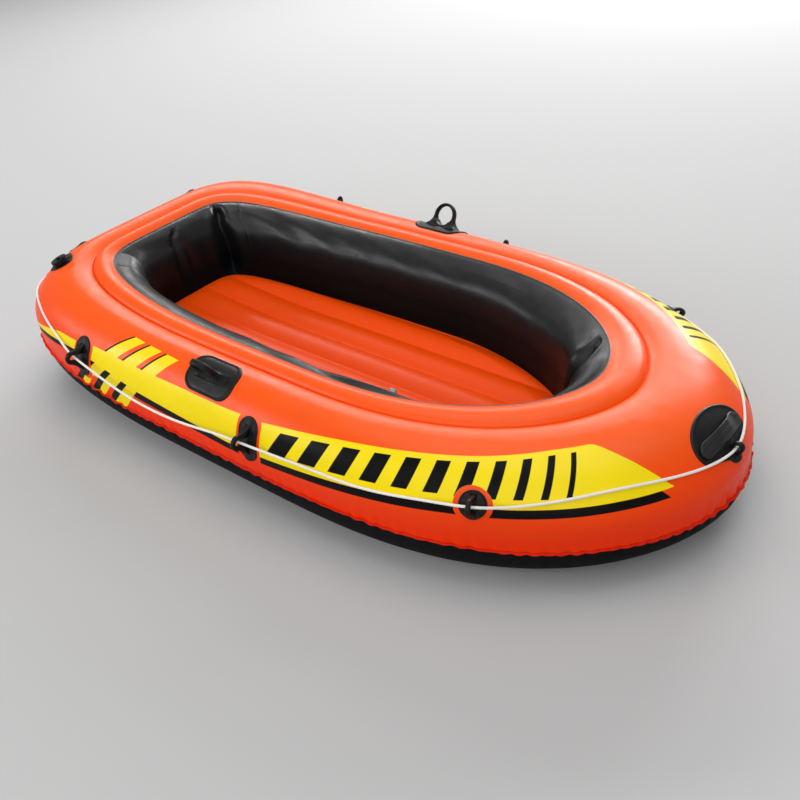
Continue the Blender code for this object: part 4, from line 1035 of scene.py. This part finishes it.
def eye_outlines(height, half_x, half_y, wall, foot_half, root=0.004, power=2.4):
    """An upright eye with feet that flare out, and the hole that faces each of its points."""
    crown = arc(0.0, height, half_x + wall, half_y + wall, 0, 180, 36)
    flare_start = half_x + wall
    shares = np.linspace(0.0, 1.0, 17)[1:]
    spread = flare_start + (foot_half - flare_start) * shares**power
    flare = np.stack([spread, height * (1 - shares)], 1)
    foot = np.stack([np.linspace(foot_half, -foot_half, 25), np.full(25, -root)], 1)
    left = flare * (-1.0, 1.0)
    outer = np.concatenate([crown, left, foot[::-1], flare[::-1]])
    angle = np.arctan2(outer[:, 1] - height, outer[:, 0])
    inner = np.stack([half_x * np.cos(angle), height + half_y * np.sin(angle)], 1)
    return outer, inner


def moulding(name, node, parts):
    """Parts joined as one moulded black piece that takes the place of a node of the frame."""
    points, faces = join_meshes(parts)
    make_piece(name + "_moulding", points, faces, moulded_black, replaces=[node])


def ridge(share, height, middle, half):
    return height * bell(share - middle, half)


def oarlock_relief(x, y, share):
    """A raised rim, a lower ridge inside it and a shallow boss under the eye."""
    height, half_along, half_up = OARLOCK_BOSS
    boss = height * bell(y, half_up, 4) * bell(x, half_along, 6)
    return PAD_THICKNESS + ridge(share, *OARLOCK_RIM) + ridge(share, *OARLOCK_PANEL) + boss


def oarlock(name, side):
    row = row_at_share(OARLOCK_SHARE)
    spot = hull_frame(row, side_station(row, OARLOCK_X, side))
    base = pad_shape(spot, rounded_outline(*OARLOCK_PAD), oarlock_relief)
    outer, inner = eye_outlines(OARLOCK_EYE_HEIGHT, *OARLOCK_EYE_HALF, OARLOCK_EYE_WALL, OARLOCK_FOOT_HALF)
    spread = np.clip((OARLOCK_EYE_HEIGHT - outer[:, 1]) / OARLOCK_EYE_HEIGHT, 0.0, 1.0)
    crown, more, power = OARLOCK_THICKENING
    thickness = OARLOCK_THICKNESS * (crown + more * spread**power)
    eye = bevelled_plate(spot @ ALONG_HULL, outer, inner, thickness, OARLOCK_BEVEL)
    moulding(name, name, [base, eye])


def guide_relief(x, y, share):
    """A raised rim, shallow folds that run outwards and a boss under the loop."""
    depth, middle, half = GUIDE_FOLD
    fold = depth * math.cos(GUIDE_FOLDS * math.atan2(x, y)) * max(0.0, 1.0 - abs(share - middle) / half)
    height, half_along = GUIDE_BOSS
    return PAD_THICKNESS + ridge(share, *GUIDE_RIM) + fold + height * bell(x, half_along, 4)


def loop_outlines(height, foot_half):
    """A three-cornered loop: an eye at its top for the rope and an open space between its thick legs."""
    radius = GUIDE_EYE_RADIUS
    outer, _ = eye_outlines(height, radius, radius, GUIDE_EYE_WALL, foot_half, root=0.003, power=1.25)
    drop = height - GUIDE_HOLE_FOOT
    angle = np.arctan2(outer[:, 1] - height, outer[:, 0])
    down = np.clip(-np.sin(angle), 0.0, 1.0)
    widening = (GUIDE_HOLE_HALF - radius) / drop
    side = radius / np.maximum(np.sqrt(1 - down**2) - widening * down, 1e-6)
    reach = np.where(down > 0, np.minimum(side, drop / np.maximum(down, 1e-6)), radius)
    inner = np.stack([reach * np.cos(angle) * GUIDE_HOLE_NARROWING, height + reach * np.sin(angle)], 1)
    return outer, inner


def rope_eye(spot, lean, height, foot_half):
    """The standing loop, leaning up the section by a length at the height of its eye."""
    outer, inner = loop_outlines(height, foot_half)
    low = np.clip((height - outer[:, 1]) / height, 0.0, 1.0)
    crown, more = GUIDE_THICKENING
    thickness = GUIDE_THICKNESS * (crown + more * low)
    spot = spot @ lean_matrix(lean / height) @ UP_SECTION
    return bevelled_plate(spot, outer, inner, thickness, LOOP_BEVEL)


def lean_matrix(slope):
    """Moves a point up the section in step with its height over the hull."""
    turn = Matrix.Identity(4)
    turn[1][2] = slope
    return turn


def rope_guide(name, row, station, is_round):
    spot = hull_frame(row, station)
    size = ROUND_GUIDE_PAD if is_round else GUIDE_PAD
    base = pad_shape(spot, rounded_outline(*size), guide_relief, count=72)
    lean, height, _ = PULLED_LOOPS.get(name, UPRIGHT_LOOP)
    eye = rope_eye(spot, lean, height, ROUND_FOOT_HALF if is_round else GUIDE_FOOT_HALF)
    moulding("rope_guide_" + name, "rope_guide_" + name, [base, eye])


# Place along each side, x, height and whether the patch is round
SIDE_GUIDES = (
    ("aft", AFT_GUIDE_X, SIDE_GUIDE_HEIGHT, False),
    ("mid", MID_GUIDE_X, SIDE_GUIDE_HEIGHT, False),
    ("fore", FORE_GUIDE_X, FORE_GUIDE_HEIGHT, True),
)


def guide_places():
    """Name, row, station and whether the guide is round, for each rope guide."""
    places = []
    for side_name, side in (("starboard", -1), ("port", 1)):
        for place, x, height, is_round in SIDE_GUIDES:
            row = row_at_height(height)
            places.append((f"{side_name}_{place}", row, side_station(row, x, side), is_round))
        row = row_at_height(STERN_GUIDE_HEIGHT)
        places.append((side_name + "_stern", row, stern_station(row, side * STERN_GUIDE_Y), False))
    return places


def handle_outline():
    top = arc(0.0, 0.0, HANDLE_HALF_WIDTH, HANDLE_TOP, -20, 200, 40)
    lobe = HANDLE_LOBE_HALF
    foot = arc(0.0, -HANDLE_LOBE_DROP + lobe, lobe, lobe, 200, 340, 16)
    return np.concatenate([top, foot])


def handle_relief(x, y, share):
    """A raised rim, and a boss down the lobe that carries the eye."""
    height, half_along = HANDLE_BOSS
    boss = height * bell(x, half_along, 4) * bell(max(0.0, y - HANDLE_BOSS_TOP), HANDLE_BOSS_FADE)
    return PAD_THICKNESS + ridge(share, *HANDLE_RIM) + boss


def grip_ring(place, middle, width, lift):
    """One section of the strap: its underside and its ribbed top, over a place on the hull."""
    across = np.linspace(0.0, 1.0, 15)
    ring = []
    for share, side in [(share, 1.0) for share in across] + [(share, 0.0) for share in across[::-1]]:
        thick = GRIP_THICKNESS * min(1.0, GRIP_EDGE_THICKNESS + min(share, 1 - share) / GRIP_EDGE_WIDTH)
        rib = GRIP_RIB * sum(bell(share - rib_share, GRIP_RIB_HALF) for rib_share in GRIP_RIB_SHARES)
        raised = lift * (GRIP_LOW_LIFT + GRIP_TILT * share)
        height = PAD_THICKNESS + GRIP_GAP + raised + (GRIP_THICKNESS - thick) / 2
        y = middle + width * (share - 0.5)
        ring.append(tuple(place @ Vector((0.0, y, height + (thick + rib) * side))))
    return ring


def grip_shape(row):
    """The strap for the fingers: welded down at both ends, raised between them, with two lengthwise ribs."""
    spacing = float(np.linalg.norm(grid_point(row, 1.0) - grid_point(row, 0.0)))
    rings = []
    for along in GRIP_HALF_LENGTH * np.sin(np.linspace(-math.pi / 2, math.pi / 2, 81)):
        free = max(0.0, GRIP_HALF_LENGTH - GRIP_WELD - abs(along)) / (GRIP_HALF_LENGTH - GRIP_WELD)
        end = np.clip((abs(along) - GRIP_HALF_LENGTH + GRIP_ROUND) / GRIP_ROUND, 0.0, 0.97)
        width = (GRIP_HIGH - GRIP_LOW) * math.sqrt(1.0 - end**2)
        middle = (GRIP_LOW + GRIP_HIGH) / 2 + GRIP_ARCH * (1.0 - (along / GRIP_HALF_LENGTH) ** 2)
        lift = GRIP_LIFT * gentle_step(GRIP_STEEPNESS * free)
        rings.append(grip_ring(hull_frame(row, along / spacing), middle, width, lift))
    return closed_tube(np.array(rings))


def closed_tube(rings):
    """Rings of points, joined and closed at both ends."""
    number, count = rings.shape[:2]
    faces = [tuple(face) for face in grid_faces(number, count, close_columns=True)]
    faces += [tuple(range(count))[::-1], tuple(range((number - 1) * count, number * count))]
    return rings, faces


def bow_handle():
    row = row_at_height(HANDLE_HEIGHT)
    spot = hull_frame(row, 0.0)
    base = pad_shape(spot, handle_outline(), handle_relief, count=140)
    place = spot @ Matrix.Translation((0.0, -HANDLE_EYE_DROP, 0.0)) @ UP_SECTION
    radius, wall, foot = HANDLE_EYE_RADIUS, HANDLE_EYE_WALL, HANDLE_EYE_FOOT
    outer, inner = eye_outlines(HANDLE_EYE_HEIGHT, radius, radius, wall, foot, root=0.003, power=1.4)
    eye = bevelled_plate(place, outer, inner, HANDLE_EYE_THICKNESS, LOOP_BEVEL)
    moulding("bow_handle", "bow_handle_base", [base, eye])
    points, faces = grip_shape(row)
    make_piece("bow_grip_strap", points, faces, grip_grey, replaces=["bow_handle_grip"])


# Grab rope

LYING = ROPE_RADIUS + ROPE_CLEARANCE


def rope_stops(places):
    """Stations, rows and heights over the hull that the rope passes, from the stern right round."""
    by_name = {name: (row, station) for name, row, station, _ in places}

    def span(side, x, height, wrap):
        row = row_at_height(height)
        return side_station(row, x, side) + wrap, row, LYING

    def guide(name, wrap):
        row, station = by_name[name]
        row_length = np.linalg.norm(grid_point(row + 1.0, station) - grid_point(row, station))
        lean, _, height = PULLED_LOOPS.get(name, UPRIGHT_LOOP)
        return station + wrap, row + lean / row_length, height

    def half(name, side, wrap):
        """One side's stops from the stern to the bow."""
        return [
            guide(name + "_stern", wrap),
            span(side, ROPE_CORNER_X, ROPE_CORNER_HEIGHT, wrap),
            guide(name + "_aft", wrap),
            span(side, ROPE_SAG_X, ROPE_SAG_HEIGHT, wrap),
            guide(name + "_mid", wrap),
            span(side, ROPE_LEVEL_X, SIDE_GUIDE_HEIGHT, wrap),
            guide(name + "_fore", wrap),
            span(side, ROPE_BOW_X, ROPE_BOW_HEIGHT, wrap),
        ]

    handle_row = row_at_height(HANDLE_HEIGHT)
    row_step = np.linalg.norm(grid_point(handle_row, 0.0) - grid_point(handle_row - 1.0, 0.0))
    bow = (STATIONS, handle_row - HANDLE_EYE_DROP / row_step, HANDLE_EYE_HEIGHT)
    stern_row = row_at_height(ROPE_STERN_HEIGHT)
    first, last = (STATIONS / 2, stern_row, LYING), (STATIONS * 1.5, stern_row, LYING)
    return [first, *half("starboard", -1, 0), bow, *half("port", 1, STATIONS)[::-1], last]


def smooth_value(place, places, values):
    number = max(0, min(len(places) - 2, int(np.searchsorted(places, place)) - 1))
    share = (place - places[number]) / (places[number + 1] - places[number])
    return between(values[number], values[number + 1], gentle_step(share))


def way_at(station):
    laps, rest = divmod(station, STATIONS)
    return laps * PERIMETER + float(np.interp(rest, np.arange(STATIONS + 1), np.append(AROUND, PERIMETER)))


def rope_height(way, place, eyes):
    """How high the rope runs over a place: lying on the hull, or held up by the eyes on both sides."""
    height = LYING
    for eye_way, top, _ in eyes:
        near = 1 - abs(way - eye_way) / ROPE_FALL_AWAY
        height = max(height, between(LYING, top, gentle_step(near)))
    for (way_before, _, before), (way_after, _, after) in zip(eyes, eyes[1:], strict=False):
        if way_before < way < way_after:
            chord = before.lerp(after, (way - way_before) / (way_after - way_before))
            height = max(height, (chord - place.translation).dot(place.col[2].xyz))
    return height


def rope_line(stops, start, end):
    """The rope's middle line: over the hull, up through each eye, and straight where the hull lets it."""
    stations = [stop[0] for stop in stops]
    rows = [stop[1] for stop in stops]
    eyes = []
    for station, row, height in stops:
        if height > LYING:
            eyes.append((way_at(station), height, hull_frame(row, station) @ Vector((0.0, 0.0, height))))
    points = []
    for station in np.arange(stations[0] + 1.0, stations[-1], ROPE_STRIDE):
        place = hull_frame(smooth_value(station, stations, rows), station)
        points.append(tuple(place @ Vector((0.0, 0.0, rope_height(way_at(station), place, eyes)))))
    points = np.array(points)
    from_ends = np.minimum(np.linalg.norm(points - start, axis=1), np.linalg.norm(points - end, axis=1))
    line = np.concatenate([[start], points[from_ends > KNOT_CLEARANCE], [end]])
    for _ in range(ROPE_EASING):
        line[1:-1] = 0.25 * line[:-2] + 0.5 * line[1:-1] + 0.25 * line[2:]
    return line


def rope_shape(line, closed=False):
    """A rope along a line, with three strands that wind round it."""
    if closed:
        along = np.roll(line, -1, 0) - np.roll(line, 1, 0)
    else:
        along = np.gradient(line, axis=0)
    along /= np.linalg.norm(along, axis=1)[:, None]
    way = way_along(line)
    side = np.cross(along[0], (0.0, 0.3, 1.0))
    angle = np.linspace(0.0, 2 * math.pi, ROPE_SIDES, endpoint=False)
    rings, uv = [], []
    for number, (point, direction) in enumerate(zip(line, along, strict=True)):
        side = side - direction * side.dot(direction)
        side /= np.linalg.norm(side)
        round_it = np.cos(angle)[:, None] * side + np.sin(angle)[:, None] * np.cross(direction, side)
        swell = 1 + STRAND_DEPTH * np.cos(3 * (angle + 2 * math.pi * STRAND_TURNS * way[number]))
        rings.append(point + round_it * (ROPE_RADIUS * swell)[:, None])
        uv.append(np.column_stack([np.full(ROPE_SIDES, way[number]), angle / (2 * math.pi)]))
    rings, uv = np.array(rings), np.array(uv)
    if closed:
        return rings, grid_faces(len(rings), ROPE_SIDES, close_columns=True, close_rows=True), uv
    return *closed_tube(rings), uv


def knot_line(spot):
    """A closed trefoil."""
    angle = np.linspace(0.0, 2 * math.pi, 120, endpoint=False)
    x = KNOT_SPREAD * (np.cos(angle) + 2 * np.cos(2 * angle))
    y = KNOT_SPREAD * (np.sin(angle) - 2 * np.sin(2 * angle))
    return place_points(spot, np.column_stack([x, y, KNOT_DEPTH * np.sin(3 * angle)]))


def grab_rope(places):
    exits = [np.array((KNOT_PLACE[0], y, KNOT_PLACE[2])) for y in ROPE_EXIT_YS]
    line = rope_line(rope_stops(places), *exits)
    length = float(way_along(line)[-1])
    line = smooth_curve(line, int(length / ROPE_STEP))
    points, faces, uv = rope_shape(line)
    rope = make_piece("rope_run", points, faces, rope_white, uv, ["grab_rope"])
    stern = hull_frame(row_at_height(ROPE_STERN_HEIGHT), STATIONS / 2, KNOT_DEPTH + LYING)
    spot = Matrix.Translation(Vector(KNOT_PLACE) - stern.translation) @ stern
    points, faces, uv = rope_shape(knot_line(spot), closed=True)
    knot = make_piece("rope_stopper", points, faces, rope_white, uv, ["rope_knot"])


# Hull graphics

# Edges of the yellow band: way from the bow and height up the skin from the seam
BAND_TOP = (
    (0.179, 0.106), (0.2, 0.138), (0.227, 0.179), (0.266, 0.23), (0.278, 0.239),
    (0.37, 0.234), (0.55, 0.211), (0.716, 0.192), (0.904, 0.169), (1.02, 0.153),
    (1.14, 0.137), (1.28, 0.132), (1.42, 0.133), (1.73, 0.132), (1.78, 0.13),
    (1.85, 0.115), (1.935, 0.107), (2.015, 0.081), (2.1, 0.049),
)
BAND_LOW = (
    (0.179, 0.106), (0.3, 0.1057), (0.465, 0.102), (0.658, 0.0965), (0.85, 0.081),
    (1.008, 0.0665), (1.16, 0.052), (1.25, 0.0515), (1.339, 0.056), (1.577, 0.0701),
    (1.688, 0.083), (1.757, 0.088), (1.84, 0.09), (1.923, 0.081), (2.015, 0.0655),
    (2.1, 0.047),
)
BAND_ENDS = (0.179, 2.1)
STRIPE_WIDTH = 0.0185
AFT_STRIPE_WIDTH = 0.013
AFT_STRIPE_START = 1.78
BAR_SLOPE = 0.93
STRIPE_BAR_START = 1.642
FIRST_BAR = 1.687
BAR_PITCH = 0.0755
BAR_WIDTH = 0.0265
BAR_COUNT = 3
GAP_WIDTH = 0.02
GAP_TOP = 0.046
FINGER_BASE = 0.132
FINGER_SLOPE = 0.6
FINGER_EDGES = ((1.683, 1.735), (1.604, 1.66), (1.526, 1.582))
FINGER_LINE = 0.0075
FINGER_TOP = 0.1934
FINGER_TOP_X = 1.4892
FINGER_TOP_SLOPE = 0.0685
SPEED_BARS_START = 1.112
SPEED_BAR_SLOPE = 0.62
SPEED_BAR_WIDTHS = (0.052, 0.048, 0.044, 0.04, 0.036, 0.032, 0.028, 0.024, 0.02, 0.016, 0.012)
SPEED_BAR_GAP = 0.0345
SPEED_BAR_FOOT = 0.02
SPEED_BAR_HEAD = 0.013
SPEED_BAR_BASE = 0.076
TAB_FOOT = -0.004
BAR_FOOT = 0.001
FINGER_OVERLAP = 0.002
STRIPE_END_SLOPE = -0.75
STRIPE_END = 0.128
AFT_STRIPE_SHORT = 0.02
HALO = 0.0085
EDGE_BLUR = 0.0012
CURVE_HEIGHT = 0.3
CURVE_LENGTH = 2.6

# Plain vinyl round each rope guide: x, height, patch, and how many halos wide it is along and up
GUIDE_HALOS = (
    (AFT_GUIDE_X, SIDE_GUIDE_HEIGHT, GUIDE_PAD, 1.0, 1.0),
    (MID_GUIDE_X, SIDE_GUIDE_HEIGHT, GUIDE_PAD, 1.0, 2.2),
    (FORE_GUIDE_X, FORE_GUIDE_HEIGHT, ROUND_GUIDE_PAD, 1.3, 1.3),
)


def skin_place(row, station):
    """A place on the starboard skin: way from the bow, girth from the seam, stretch and lean of the grid."""
    low = int(row)
    column = int(round(station)) % STATIONS
    girth = TOP_GIRTH[low, column] * (1 - row + low) + TOP_GIRTH[low + 1, column] * (row - low)
    way = float(np.interp(station, np.arange(STATIONS + 1), np.append(FROM_BOW, 0.0)))
    step = grid_point(row, station + 2) - grid_point(row, station - 2)
    outer_step = grid_point(0.0, station + 2) - grid_point(0.0, station - 2)
    rising = grid_point(row + 1.0, station) - grid_point(row - 1.0, station)
    forward = step / np.linalg.norm(step)
    lean = float(rising.dot(forward) / np.linalg.norm(rising))
    return way, float(girth), float(np.linalg.norm(step) / np.linalg.norm(outer_step)), -lean


class Ink:
    """Masks on the hull's top skin, from the way round it from the bow and the girth up from the seam."""

    def __init__(self, nodes):
        self.nodes = nodes
        self.math, self.minus, self.times_plus = nodes.math, nodes.minus, nodes.times_plus
        self.along, self.up, _ = nodes.skin_axes()
        self.band_top, self.band_low = self.line(BAND_TOP), self.line(BAND_LOW)
        self.below_band = self.above(self.band_low, self.up)

    def line(self, points):
        """The girth of a line of points at each place along the hull."""
        curve = self.nodes.add("ShaderNodeFloatCurve")
        spots = curve.mapping.curves[0].points
        scaled = [(x / CURVE_LENGTH, y / CURVE_HEIGHT) for x, y in points]
        spots[0].location = (0.0, scaled[0][1])
        spots[1].location = (1.0, scaled[-1][1])
        for x, y in scaled:
            spots.new(x, y)
        for spot in spots:
            spot.handle_type = "VECTOR"
        curve.mapping.update()
        self.nodes.fill(curve, Value=self.math("DIVIDE", self.along, CURVE_LENGTH))
        return self.math("MULTIPLY", curve.outputs[0], CURVE_HEIGHT)

    def above(self, value, limit):
        """1 where the value is over the limit, with a soft edge."""
        return self.math("MULTIPLY_ADD", self.minus(value, limit), 1 / EDGE_BLUR, 0.5, clamp=True)

    def within(self, value, low, high):
        return self.both(self.above(value, low), self.above(high, value))

    def chain(self, operation, masks):
        result = masks[0]
        for mask in masks[1:]:
            result = self.math(operation, result, mask)
        return result

    def both(self, *masks):
        return self.chain("MULTIPLY", masks)

    def either(self, *masks):
        return self.chain("MAXIMUM", masks)

    def slanted(self, slope, base=0.0):
        """The place along the hull, carried on by a slope above a base."""
        return self.times_plus(self.minus(self.up, base), slope, self.along)

    def outside(self, row, x, half_along, half_up, radius):
        """1 outside a rounded outline about a place on the skin."""
        way, girth, stretch, lean = skin_place(row, side_station(row, x, -1))
        up_away = self.minus(self.up, girth)
        true_along = self.math("MULTIPLY", self.minus(self.along, way), stretch)
        squares = []
        for value, half in ((self.times_plus(up_away, lean, true_along), half_along), (up_away, half_up)):
            beyond = self.math("MAXIMUM", self.minus(self.math("ABSOLUTE", value), half - radius), 0.0)
            squares.append(self.math("MULTIPLY", beyond, beyond))
        return self.above(self.math("SQRT", self.math("ADD", *squares)), radius)


def tabs_and_bars(ink):
    """Yellow tabs below the band's stern half, the gaps beside them and the black bars that part them."""
    way = ink.slanted(BAR_SLOPE)
    starts = [FIRST_BAR + BAR_PITCH * number for number in range(BAR_COUNT)]
    run = ink.within(way, STRIPE_BAR_START, starts[-1])
    tabs = ink.both(ink.below_band, run, ink.above(ink.up, TAB_FOOT))
    bars = ink.either(*[ink.within(way, start, start + BAR_WIDTH) for start in starts])
    ends = [start + BAR_WIDTH for start in starts[:-1]]
    gaps = ink.either(*[ink.within(way, end, end + GAP_WIDTH) for end in ends])
    gaps = ink.both(gaps, ink.above(GAP_TOP, ink.up), ink.below_band)
    return tabs, gaps, ink.both(bars, ink.below_band, ink.above(ink.up, BAR_FOOT))


def band_fingers(ink):
    """Yellow fingers that rise from the band's stern half, and the black line beside each."""
    way = ink.slanted(FINGER_SLOPE, FINGER_BASE)
    top = ink.times_plus(ink.minus(ink.along, FINGER_TOP_X), FINGER_TOP_SLOPE, FINGER_TOP)
    rising = ink.both(ink.above(ink.up, FINGER_BASE - FINGER_OVERLAP), ink.above(top, ink.up))
    fingers = ink.either(*[ink.within(way, *edges) for edges in FINGER_EDGES])
    half = FINGER_LINE / 2
    lines = ink.either(*[ink.within(way, edge - half, edge + half) for _, edge in FINGER_EDGES])
    return ink.both(fingers, rising), ink.both(lines, rising, ink.above(ink.up, FINGER_BASE))


def edge_stripes(ink):
    """The black line under the band, and its narrower run at the stern."""
    over = ink.above(ink.up, ink.minus(ink.band_low, STRIPE_WIDTH))
    bow_end = ink.above(ink.times_plus(ink.up, STRIPE_END_SLOPE, ink.along), STRIPE_END)
    stern_end = ink.above(STRIPE_BAR_START, ink.slanted(BAR_SLOPE))
    aft_over = ink.above(ink.up, ink.minus(ink.band_low, AFT_STRIPE_WIDTH))
    aft = ink.within(ink.along, AFT_STRIPE_START, BAND_ENDS[1] - AFT_STRIPE_SHORT)
    return ink.both(ink.below_band, over, stern_end, bow_end), ink.both(ink.below_band, aft_over, aft)


def speed_bars(ink):
    """Slanted black bars on the band, narrower towards the bow."""
    way = ink.slanted(SPEED_BAR_SLOPE, SPEED_BAR_BASE)
    bars, start = [], SPEED_BARS_START
    for width in SPEED_BAR_WIDTHS:
        bars.append(ink.within(way, start - width, start))
        start -= width + SPEED_BAR_GAP
    foot = ink.above(ink.up, ink.math("ADD", ink.band_low, SPEED_BAR_FOOT))
    head = ink.above(ink.minus(ink.band_top, SPEED_BAR_HEAD), ink.up)
    return ink.both(ink.either(*bars), foot, head)


def off_fittings(ink):
    """1 away from the plain halo round each fitting."""
    length, width, radius = OARLOCK_PAD
    row = row_at_share(OARLOCK_SHARE)
    masks = [ink.outside(row, OARLOCK_X, length / 2 + HALO, width / 2 + HALO, radius + HALO)]
    for x, height, pad, wide, tall in GUIDE_HALOS:
        half = pad[0] / 2 + wide * HALO
        masks.append(ink.outside(row_at_height(height), x, half, pad[1] / 2 + tall * HALO, half))
    return ink.both(*masks)


def print_graphics(nodes, plain, yellow):
    """The band, its bars and stripes, as colours over the plain vinyl, and where black is printed."""
    ink = Ink(nodes)
    over_low, under_top = ink.above(ink.up, ink.band_low), ink.above(ink.band_top, ink.up)
    band = ink.both(over_low, under_top, ink.within(ink.along, *BAND_ENDS))
    tabs, gaps, bars = tabs_and_bars(ink)
    fingers, finger_lines = band_fingers(ink)
    free = off_fittings(ink)
    is_yellow = ink.both(ink.either(band, tabs, fingers), free, ink.minus(1.0, gaps))
    is_black = ink.both(ink.either(*edge_stripes(ink), bars, finger_lines, speed_bars(ink)), free)
    return nodes.mix(is_black, nodes.mix(is_yellow, plain, yellow), PRINT_BLACK), is_black


def paint_hull(nodes):
    """Orange vinyl, a little uneven in colour, with painted shade that turns it a deeper orange towards the
    seam, and its graphics.
    """
    place = nodes.place()
    # Painted shade: the orange turns deeper towards the seam, and the shine is lowered there too
    seam_shade = nodes.spread(nodes.skin_axes()[1], 1.0, 0.0, SHADE_GIRTHS)
    plain = nodes.mix(seam_shade, nodes.mottled(place, ORANGE_TINT, ORANGE), SHADED_ORANGE)
    colour, black = print_graphics(nodes, plain, nodes.mottled(place, YELLOW_TINT, YELLOW))
    gloss = nodes.math("MINIMUM", nodes.times_plus(seam_shade, *DEEP_SHEEN), nodes.times_plus(black, *PRINT_SHEEN))
    nodes.look(Base_Color=colour, Specular_IOR_Level=gloss)


def all_fittings():
    oarlock("oarlock_starboard", -1)
    oarlock("oarlock_port", 1)
    places = guide_places()
    for place in places:
        rope_guide(*place)
    bow_handle()
    grab_rope(places)


paint_hull(hull_orange)
paint_wall(wall_black)
hull_skins()
seam_flange()
cockpit_wall()
rim_weld()
floor_sheets()
all_fittings()


# The frame's own nodes that stay

for node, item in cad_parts.items():
    if item.hide_render:
        continue
    inner = node.startswith(("floor_web", "chamber"))
    clear = node.startswith(("inner_valve", "floor_valve"))
    item.data.materials.clear()
    item.data.materials.append(inner_vinyl if inner else clear_vinyl if clear else moulded_black)


# Floor and light

STAGE_HALF = 30.0
STAGE_GREY = (0.5, 0.5, 0.5)
WORLD_STRENGTH = 0.36

# Each light's place, the place it points at, its width and height, and its power in watts
LIGHTS = {
    "back_window": ((-1.4, 6.8, 2.7), (0.2, 0.1, 0.25), (3.8, 2.1), 340.0),
    "overhead": ((0.0, 0.2, 6.0), (0.0, 0.0, 0.0), (6.0, 5.0), 150.0),
    "front_fill": ((2.4, -5.8, 4.2), (0.0, 0.0, 0.15), (9.0, 5.0), 185.0),
    "crest_strip": ((-4.3, 3.6, 3.3), (0.0, 0.0, 0.25), (3.4, 0.5), 95.0),
    "wall_strip": ((-4.3, -4.3, 2.3), (0.0, 0.2, 0.2), (3.2, 1.1), 95.0),
}


def stage_floor():
    material = Nodes("stage_floor", STAGE_GREY, 0.9).material
    mesh = bpy.data.meshes.new("stage_floor")
    corners = [(x * STAGE_HALF, y * STAGE_HALF, 0.0) for x, y in ((-1, -1), (1, -1), (1, 1), (-1, 1))]
    mesh.from_pydata(corners, [], [(0, 1, 2, 3)])
    mesh.materials.append(material)
    floor = bpy.data.objects.new("stage_floor", mesh)
    bpy.context.scene.collection.objects.link(floor)


def area_light(name, place, target, size, power):
    data = bpy.data.lights.new(name, "AREA")
    data.shape = "RECTANGLE"
    data.size, data.size_y = size
    data.energy = power
    light = bpy.data.objects.new(name, data)
    light.location = place
    light.rotation_mode = "QUATERNION"
    light.rotation_quaternion = (Vector(target) - Vector(place)).to_track_quat("-Z", "Y")
    bpy.context.scene.collection.objects.link(light)


def light_studio():
    world = bpy.data.worlds.new("studio")
    world.use_nodes = True
    background = world.node_tree.nodes["Background"]
    background.inputs["Color"].default_value = (1.0, 1.0, 1.0, 1.0)
    background.inputs["Strength"].default_value = WORLD_STRENGTH
    bpy.context.scene.world = world
    for name, light in LIGHTS.items():
        area_light(name, *light)


stage_floor()
light_studio()
bpy.context.scene.view_settings.view_transform = "Standard"
